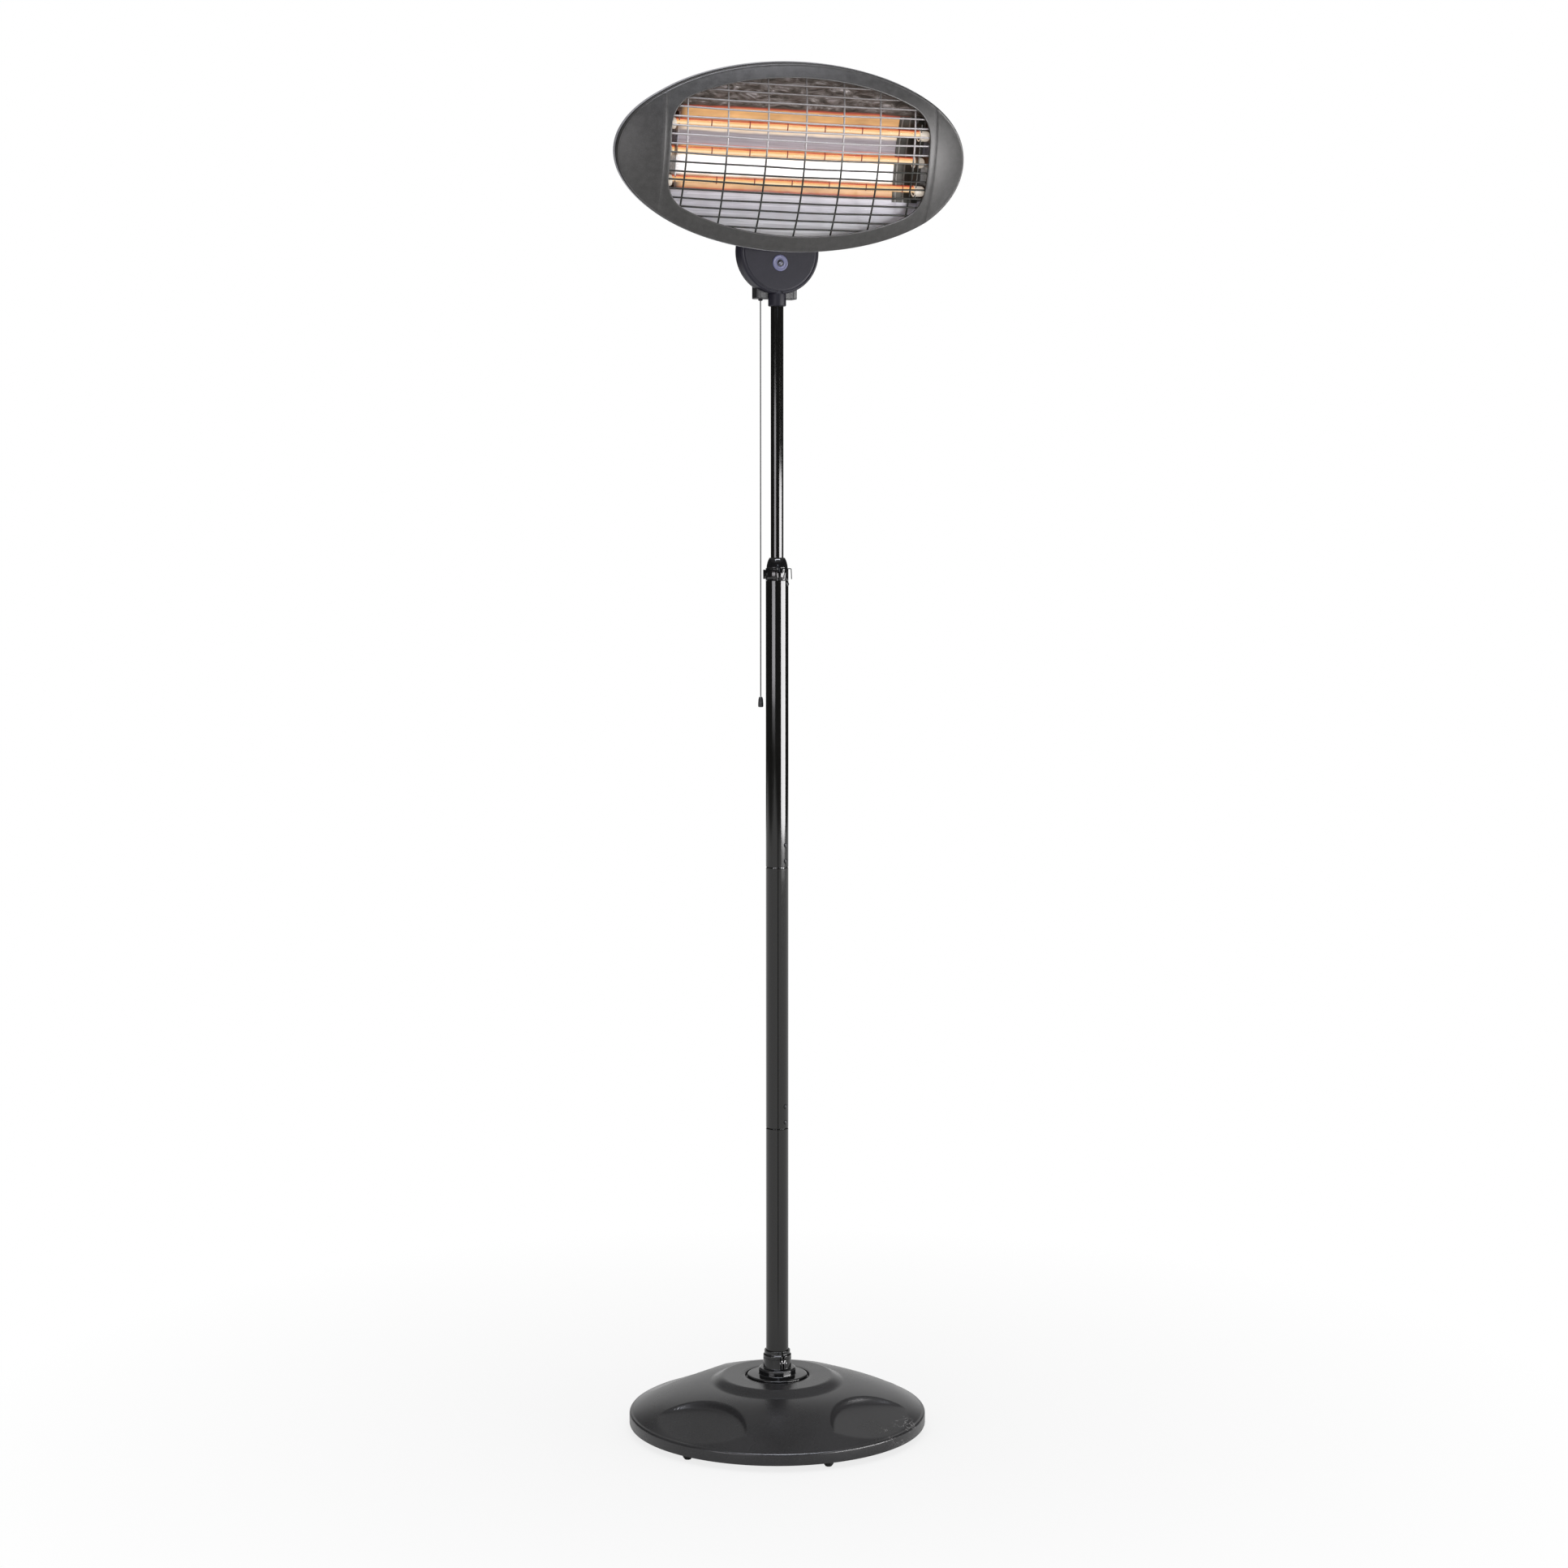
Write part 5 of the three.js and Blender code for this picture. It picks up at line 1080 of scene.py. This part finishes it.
class Sheet:
    """Collects the points and faces of an open sheet."""

    def __init__(self):
        self.verts, self.faces, self.seen = [], [], {}

    def point(self, *at):
        key = tuple(round(c, 4) for c in at)
        if key not in self.seen:
            self.seen[key] = len(self.verts)
            self.verts.append(at)
        return self.seen[key]

    def face(self, *ids):
        ring = [a for i, a in enumerate(ids) if a != ids[i - 1]]
        if len(ring) > 2:
            self.faces.append(tuple(ring))

    def strips(self, rows, close=False):
        """Joins rows of points, each with as many points as the next."""
        for a, b in zip(rows, rows[1:]):
            for i in range(len(a) if close else len(a) - 1):
                j = (i + 1) % len(a)
                self.face(a[i], a[j], b[j], b[i])


def face_frame():
    """The face: strips round the window, a rolled edge outside and a turned lip inside."""
    roll = 2.6
    a, b = FACE_A - roll, FACE_B - roll
    creases = [s * (CREASE + d) for s in (-1, 1) for d in (-1.1, -0.45, 0.45, 1.1)]
    xs = sorted(set(stations(CREASE, a, 76, 22) + corner_xs() + creases))
    sheet = Sheet()

    def oval(x):
        return b * sqrt(max(0.0, 1 - (x / a) ** 2))

    def ridge(x):
        return 0.45 * max(0.0, 1 - abs(abs(x) - CREASE) / 1.1)

    def column(x, low, high, steps):
        return [sheet.point(x, face_depth(x, z) - ridge(x), z)
                for z in (low + (high - low) * i / steps for i in range(steps + 1))]

    def turned_edge(outline, outs, levels):
        """Leads an edge back, by rows that are moved along its outward directions."""
        rows = []
        for grow, back in levels:
            rows.append([sheet.point(x + out.x * grow,
                                     face_depth(x, z) + back - (0 if back else ridge(x)),
                                     z + out.y * grow) for (x, z), out in zip(outline, outs)])
        sheet.strips(rows, close=True)

    side_z = window_z(WINDOW_SIDE)
    corner = side_z / oval(WINDOW_SIDE)
    columns = {}
    for x in xs:
        edge = oval(x)
        if abs(x) <= WINDOW_SIDE + SAME:
            low, high = WINDOW_RISE - window_z(x), WINDOW_RISE + window_z(x)
        else:
            low, high = -edge * corner, edge * corner
        columns[x] = [column(x, -edge, low, 12), column(x, low, high, 32),
                      column(x, high, edge, 12)]
    for x0, x1 in zip(xs, xs[1:]):
        beside = max(abs(x0), abs(x1)) <= WINDOW_SIDE + SAME
        for part in (0, 2) if beside else (0, 1, 2):
            sheet.strips([columns[x0][part], columns[x1][part]])

    top_edge = [(x, oval(x)) for x in xs]
    outline = top_edge + [(x, -z) for x, z in reversed(top_edge[1:-1])]
    outs = [Vector((x / a ** 2, z / b ** 2)).normalized() for x, z in outline]
    rolled = [(roll * sin(radians(t)), roll * (1 - cos(radians(t)))) for t in range(0, 91, 18)]
    turned_edge(outline, outs, rolled + [(roll, FLANGE_D)])

    inner = [(x, WINDOW_RISE + window_z(x)) for x in xs if abs(x) <= WINDOW_SIDE + SAME]
    inner += [(WINDOW_SIDE, WINDOW_RISE + side_z * (1 - 2 * i / 32)) for i in range(1, 32)]
    outline = inner + [(-x, 2 * WINDOW_RISE - z) for x, z in inner]
    outs = []
    for i in range(len(outline)):
        ahead, behind = outline[(i + 1) % len(outline)], outline[i - 1]
        outs.append(Vector((ahead[1] - behind[1], behind[0] - ahead[0])).normalized())
    turned_edge(outline, outs, ((0, 0), (0.35, 0.1), (0.75, 0.45), (0.95, 1.0), (1.0, 2.6)))
    piece = mesh_piece("face_pressing", sheet.verts, sheet.faces, FACE_PAINT, FACE, 60)
    thicken(piece, 1.5, 60)
    stands_for(in_row_frame(piece), "head", "grey_enamel", "face_frame")


face_frame()


def wave(x, seed, size=0.35):
    """A wire's slight unevenness."""
    return size * (sin(x / 61 + seed * 2.3) + 0.6 * sin(x / 27 + seed * 5.1))


def grille():
    """The guard: rows and columns of bowed wire, and a hoop that follows the window."""
    parts = []
    for i in range(ROWS):
        rise = (i - (ROWS - 1) / 2) * ROW_PITCH
        reach = window_x(rise, GRILLE_LAP) - 1
        z = WINDOW_RISE + rise
        xs = [reach * (2 * k / 56 - 1) for k in range(57)]
        line = [(x, face_depth(x, z) + ROW_DEPTH, z + wave(x, i)) for x in xs]
        parts.append(tube_along(line, WIRE_R, 12))
    for i in range(COLUMNS):
        x = (i - (COLUMNS - 1) / 2) * COLUMN_PITCH
        reach = window_z(x, GRILLE_LAP) - 1
        zs = [WINDOW_RISE + reach * (2 * k / 40 - 1) for k in range(41)]
        line = [(x + wave(z, i + 20), face_depth(x, z) + COLUMN_DEPTH, z) for z in zs]
        parts.append(tube_along(line, WIRE_R, 12))
    outline = window_outline(GRILLE_LAP - 1.5, 8)
    hoop = [(x, face_depth(x, z) + COLUMN_DEPTH - 0.4, z) for x, z in outline + outline[:1]]
    parts.append(tube_along(hoop, HOOP_R, 12, False))
    piece = mesh_piece("grille_wires", *joined(*parts), WIRE, FACE, 60)
    stands_for(piece, "head", "steel", "wire_grille")


grille()


# ---- rear shell

SHELL_OUT, SHELL_MOUTH, SHELL_WALL, SHELL_DEPTH, PAD_DEPTH = 1.6, 9, FLANGE_D + 2, 78, 74
VENT_PITCH, VENT_Z, VENT_HALF, VENT_R = 26, 67, 12.5, 2.5


def rear_shell():
    """The back: a turned mouth, a short wall and a dome that ends in a flat pad."""
    turns, dome = 192, 26
    a, b = FACE_A + SHELL_OUT, FACE_B + SHELL_OUT
    angles = [2 * pi * i / turns for i in range(turns)]
    rim = [face_depth(FACE_A * cos(t), FACE_B * sin(t)) for t in angles]
    sheet = Sheet()
    rows = [[sheet.point((a - shrink) * cos(t), back + depth, (b - shrink) * sin(t))
             for t, back in zip(angles, rim)]
            for shrink, depth in ((0.9, SHELL_MOUTH), (0.3, SHELL_MOUTH - 0.15),
                                  (0, SHELL_MOUTH + 0.35), (0, SHELL_WALL))]
    for k in range(1, dome + 1):
        shrink, rise = cos(pi / 2 * k / dome), sin(pi / 2 * k / dome)
        shrink *= 1 - 0.016 * shrink * rise
        row = []
        for t, back in zip(angles, rim):
            start = back + SHELL_WALL
            depth = smooth_min(start + (SHELL_DEPTH - start) * rise, PAD_DEPTH, 1.2)
            row.append(sheet.point(a * cos(t) * shrink, depth, b * sin(t) * shrink))
        rows.append(row)
    sheet.strips(rows, close=True)
    piece = mesh_piece("shell_pressing", sheet.verts, sheet.faces, SHELL, FACE, 40)
    thicken(piece, 1.3, 40)
    holes = []
    for i in range(7):
        x = (i - 3) * VENT_PITCH
        slot = []
        for side, start in ((1, 0), (-1, 180)):
            for angle in range(start, start + 181, 20):
                u, v = polar(VENT_R, angle)
                slot.append((x + u, VENT_Z + side * VENT_HALF + v))
        holes.append(extruded(slot, 40, 140, "y"))
    for x, z, r in ((-20, -29, 1.9), (20, -29, 1.9), (-64, -14, 5.5)):
        holes.append(extruded(circle(r, (x, z)), 60, 140, "y"))
    cut(piece, holes, angle=40)
    stands_for(in_row_frame(piece), "head", "shell_aluminium", "rear_shell")


rear_shell()


# ---- reflector

TROUGH_DEEP, TROUGH_EDGE, TROUGH_HALF = 56, 37, 118


def trough_depth(z):
    """How far the trough lies behind the face's foremost point."""
    t = (z - WINDOW_RISE) / TROUGH_HALF
    return TROUGH_DEEP - (TROUGH_DEEP - TROUGH_EDGE) * t * t


def reflector():
    """The mirror: a trough, crinkled toward its top, with walls that reach to the face."""
    lap = 7.8
    sheet = Sheet()
    middle = WINDOW_SIDE * 0.84
    xs = sorted(set(corner_xs(lap)) | {middle * (i / 50 - 1) for i in range(101)})
    rows = []
    for x in xs:
        half = window_z(x, lap)
        row = []
        for k in range(73):
            z = WINDOW_RISE + half * (2 * k / 72 - 1)
            crease = smooth_step((z - 62) / 16) * (0.9 * sin(x / 9.1 + sin(z / 5.3) * 1.7)
                                                   + 0.7 * sin(z / 3.7 + sin(x / 13) * 2.1))
            row.append(sheet.point(x, trough_depth(z) + min(0.0, crease - 1.1) * 0.5, z))
        rows.append(row)
    sheet.strips(rows)
    edge = [row[-1] for row in rows] + rows[-1][-2:0:-1]
    edge += [row[0] for row in reversed(rows)] + rows[0][1:-1]
    rim = []
    for index in edge:
        x, _, z = sheet.verts[index]
        rim.append(sheet.point(x, face_depth(x, z) + COLUMN_DEPTH + 2.2, z))
    sheet.strips([edge, rim], close=True)
    piece = mesh_piece("reflector_sheet", sheet.verts, sheet.faces, MIRROR, FACE, 50)
    thicken(piece, 0.8, 50, 1)
    stands_for(piece, "head", "reflector_mirror", "reflector")


reflector()


# ---- lamps

COIL_R, RING_R = 4.25, 4.7


def along_x(x, y, z, flip=1):
    return shift(x, y, z) @ spin(90 * flip, "Y")


def lamp(k, name):
    """A quartz lamp built about its own centre: tube, coil, rings and end sockets."""
    deep, rise = LAMP_DEEP - LAMP_STEP * abs(k), LAMP_RISE + k * LAMP_PITCH
    place = FACE @ shift(0, deep * MM, rise * MM)
    left, right = LAMP_ENDS
    along = along_x(0, 0, 0)
    bore = LAMP_R - 1
    tube = rounded([(bore, left), (LAMP_R, left), (LAMP_R, right), (bore, right)], 0.4, 2)
    glass = mesh_piece(f"lamp_tube_{name}", *moved(turned(tube, 40), along), QUARTZ, place)
    stands_for(glass, "head", "lamp_glass", f"lamp_{name}")

    start, reach, steps = left + 0.5, right - left - 1, 240
    profile = [(AXIS, start)]
    for i in range(steps + 1):
        x = start + reach * i / steps
        profile.append((COIL_R + 0.12 * sin(x / 2.1) + 0.08 * sin(x / 11 + k), x))
    profile.append((AXIS, start + reach))
    coil = moved(turned(profile, 24), along)
    stands_for(mesh_piece(f"lamp_coil_{name}", *coil, LAMP, place, 70), "head", "lamp_glass")

    rings = []
    for i in range(6):
        x = -129 + 58 * i - 7 * k
        ring = [(x + 1.6 * sin(t), RING_R * sin(t), RING_R * cos(t))
                for t in (radians(angle) for angle in range(0, 361, 15))]
        rings.append(tube_along(ring, 0.85, 8))
    piece = mesh_piece(f"lamp_supports_{name}", *joined(*rings), SUPPORT, place, 70)
    stands_for(piece, "head", "lamp_glass")

    cap = rounded([(AXIS, 3.5), (5.9, 3.5), (5.9, 0.4), (6.4, -0.3), (7.5, -0.3), (8, 0.3),
                   (8, 4.2), (7.5, 4.8), (7.5, 11), (7, 14), (5, 16), (AXIS, 16)], 0.35, 2)
    for side, end, foot in ((-1, "l", left), (1, "r", right)):
        body = moved(turned(cap, 48), along_x(foot, 1, -3, side))
        piece = mesh_piece(f"lamp_cap_{name}_{end}", *body, CERAMIC, place)
        stands_for(piece, "head", "ceramic", f"cap_{name}_{end}")


for k, name in ((1, "upper"), (0, "middle"), (-1, "lower")):
    lamp(k, name)


# ---- cord

CORD_LENGTH = 588


def pull_cord():
    """The cord that hangs from the switch box, and its grip."""
    top, foot = BOX_FOOT - FIT, BOX_FOOT - CORD_LENGTH
    x, y = CORD_AT
    curve = bpy.data.curves.new("pull_cord_line", "CURVE")
    curve.dimensions = "3D"
    curve.bevel_depth = 0.9 * MM
    curve.bevel_resolution = 4
    curve.use_fill_caps = True
    spline = curve.splines.new("POLY")
    steps = 60
    spline.points.add(steps)
    for i in range(steps + 1):
        z = top + (foot - top) * i / steps
        spline.points[i].co = (x * MM, y * MM, z * MM, 1)
    curve.materials.append(CORD)
    line = bpy.data.objects.new("pull_cord_line", curve)
    scene.collection.objects.link(line)
    stands_for(line, "pull", "cord", "pull_cord")

    grip = [(AXIS, 0), (2.2, 0), (2.7, -1), (3.4, -3.5), (3.9, -10), (3.9, -14.4), (3.3, -15.4),
            (AXIS, -15.4)]
    profile = rounded([(r, foot - FIT + z) for r, z in grip], 0.5)
    knob = mesh_piece("pull_grip", *turned(profile, 48, CORD_AT), BLACK)
    stands_for(knob, "pull", "black_plastic", "pull_knob")


pull_cord()


# ---- CAD pieces kept as they are

SLOTS = {
    "black_enamel": POWDER, "gloss_enamel": ENAMEL, "grey_enamel": FACE_PAINT,
    "shell_aluminium": SHELL, "steel": STEEL, "reflector_mirror": MIRROR, "lamp_glass": LAMP,
    "ceramic": CERAMIC, "neck_plastic": NECK, "badge_plastic": BADGE, "gloss_plastic": GLOSS,
    "black_plastic": BLACK, "bush_plastic": RUBBER, "rubber": RUBBER, "cord": CORD,
    "ballast_iron": IRON,
}


def dress_frame():
    # The left holder takes the reflector's painted reflections.
    special = {"holder_left": END_MIRROR, "holder_right": HOLDER}
    slots = {part["node"]: part["material_slot"] for part in frame["record"]["subparts"]}
    for name, node in frame["nodes"].items():
        node.data.materials.clear()
        node.data.materials.append(special.get(name) or SLOTS[slots[name]])
        node.data.shade_smooth()
        node.data.set_sharp_from_angle(angle=radians(32))


dress_frame()


# ---- room

def floor():
    """A pale floor: white to the camera and in gloss, with the heater's soft shadow left in.

    In gloss it shows a dark strip that runs from the heater to the right of the camera."""
    n = Nodes("floor_white")
    path = n.add("LightPath").outputs
    glossy = path["Is Glossy Ray"]
    seen = n.math("MAXIMUM", n.math("MAXIMUM", path["Is Camera Ray"], glossy),
                  path["Is Transmission Ray"])
    x, y, _ = n.axes()
    away = n.axis_distance()
    lit = n.value("BsdfDiffuse", {"Color": (0.9, 0.9, 0.9, 1)})
    toward = atan2(camera.location.y, camera.location.x) + radians(9)
    ahead = n.plus(n.times(x, cos(toward)), n.times(y, sin(toward)))
    aside = n.size(n.minus(n.times(x, sin(toward)), n.times(y, cos(toward))))
    spread = n.math("DIVIDE", aside, n.math("MAXIMUM", ahead, 0.01))
    strip = n.times(n.fit(spread, 0.10, 0.05), n.fit(ahead, 0.5, 0.9))
    dim = n.fit(n.times(strip, glossy), 0, 1, 1.0, 0.12)
    white = n.value("Emission", {"Color": (1, 1, 1, 1), "Strength": dim})
    near = n.mix(glossy, (1, 1, 1), n.fit(away, 0.23, 0.60, 0.15, 1.0))
    share = n.times(n.times(seen, near), n.fit(away, 0.25, 1.3, 0.8, 1.0))
    white_floor = n.out(n.value("MixShader", {0: share, 1: lit, 2: white}))
    corners = [(-9000, -9000, -0.5), (9000, -9000, -0.5), (9000, 9000, -0.5), (-9000, 9000, -0.5)]
    mesh_piece("floor", corners, [(0, 1, 2, 3)], white_floor)


def panel(name, azimuth, distance, height, width, tall, level, glossy, colour=(1, 1, 1)):
    """A soft box that faces the heater, at an azimuth right of the camera's own direction.

    It lights matt surfaces at one level of brightness, and shows in gloss at another."""
    toward = atan2(camera.location.y, camera.location.x) + radians(azimuth)
    place = Vector((distance * cos(toward), distance * sin(toward), height))
    aim = Vector((0, 0, min(height, 1.2))) - place
    for kind, value in (("", level), ("_gloss", glossy)):
        if not value:
            continue
        light = bpy.data.lights.new(name + kind, "AREA")
        light.shape = "RECTANGLE"
        light.size, light.size_y = width, tall
        light.energy = value * pi * width * tall
        light.color = colour
        piece = bpy.data.objects.new(name + kind, light)
        piece.location = place + aim.normalized() * (0.05 if kind else 0)
        piece.rotation_euler = aim.to_track_quat("-Z", "Y").to_euler()
        piece.visible_diffuse = kind == ""
        piece.visible_glossy = kind != ""
        piece.visible_camera = False
        scene.collection.objects.link(piece)


floor()
panel("soft_right", 65.5, 6.0, 0.93, 5.7, 1.30, 4.0, 19, (1.0, 0.99, 1.0))
panel("soft_left", -35.5, 6.0, 1.31, 3.4, 1.07, 4.0, 7.5, (0.98, 0.96, 1.0))
panel("window", 8, 5.0, 2.7, 0.7, 1.2, 3.0, 5, (0.80, 0.86, 1.0))
panel("high", 8, 3.5, 6.0, 6.0, 1.5, 0, 20, (0.88, 0.90, 1.0))
panel("top", 0, 0.3, 4.2, 3.0, 3.0, 1.8, 0)


def world():
    """White to the camera. In gloss, bright behind the heater, grey overhead and dim elsewhere."""
    n = Nodes("studio", bpy.data.worlds.new("studio"))
    scene.world = n.owner
    path = n.add("LightPath").outputs
    way = n.add("TexCoord").outputs["Generated"]
    back = Vector((-camera.location.x, -camera.location.y, 0)).normalized()
    x, y, z = n.axes(way)
    flat = n.value("VectorMath", {0: n.value("CombineXYZ", {0: x, 1: y})}, operation="NORMALIZE")
    along = n.add("VectorMath", {0: flat, 1: tuple(back)},
                  operation="DOT_PRODUCT").outputs["Value"]
    behind = n.times(n.fit(along, 0.90, 0.95, 0.0, 0.72), n.fit(z, 0.66, 0.50))
    open_side = n.math("MAXIMUM", behind, n.fit(z, 0.45, 0.62, 0.0, 0.28))
    room = n.fit(open_side, 0, 1, 0.045, 1.0)
    seen = n.math("MAXIMUM", path["Is Camera Ray"], path["Is Transmission Ray"])
    level = n.mix(path["Is Glossy Ray"], n.mix(seen, (0.42, 0.42, 0.42), (1, 1, 1)), room)
    n.add("OutputWorld", {"Surface": n.value("Background", {"Color": level, "Strength": 1.0})})


world()
scene.view_settings.view_transform = "Standard"
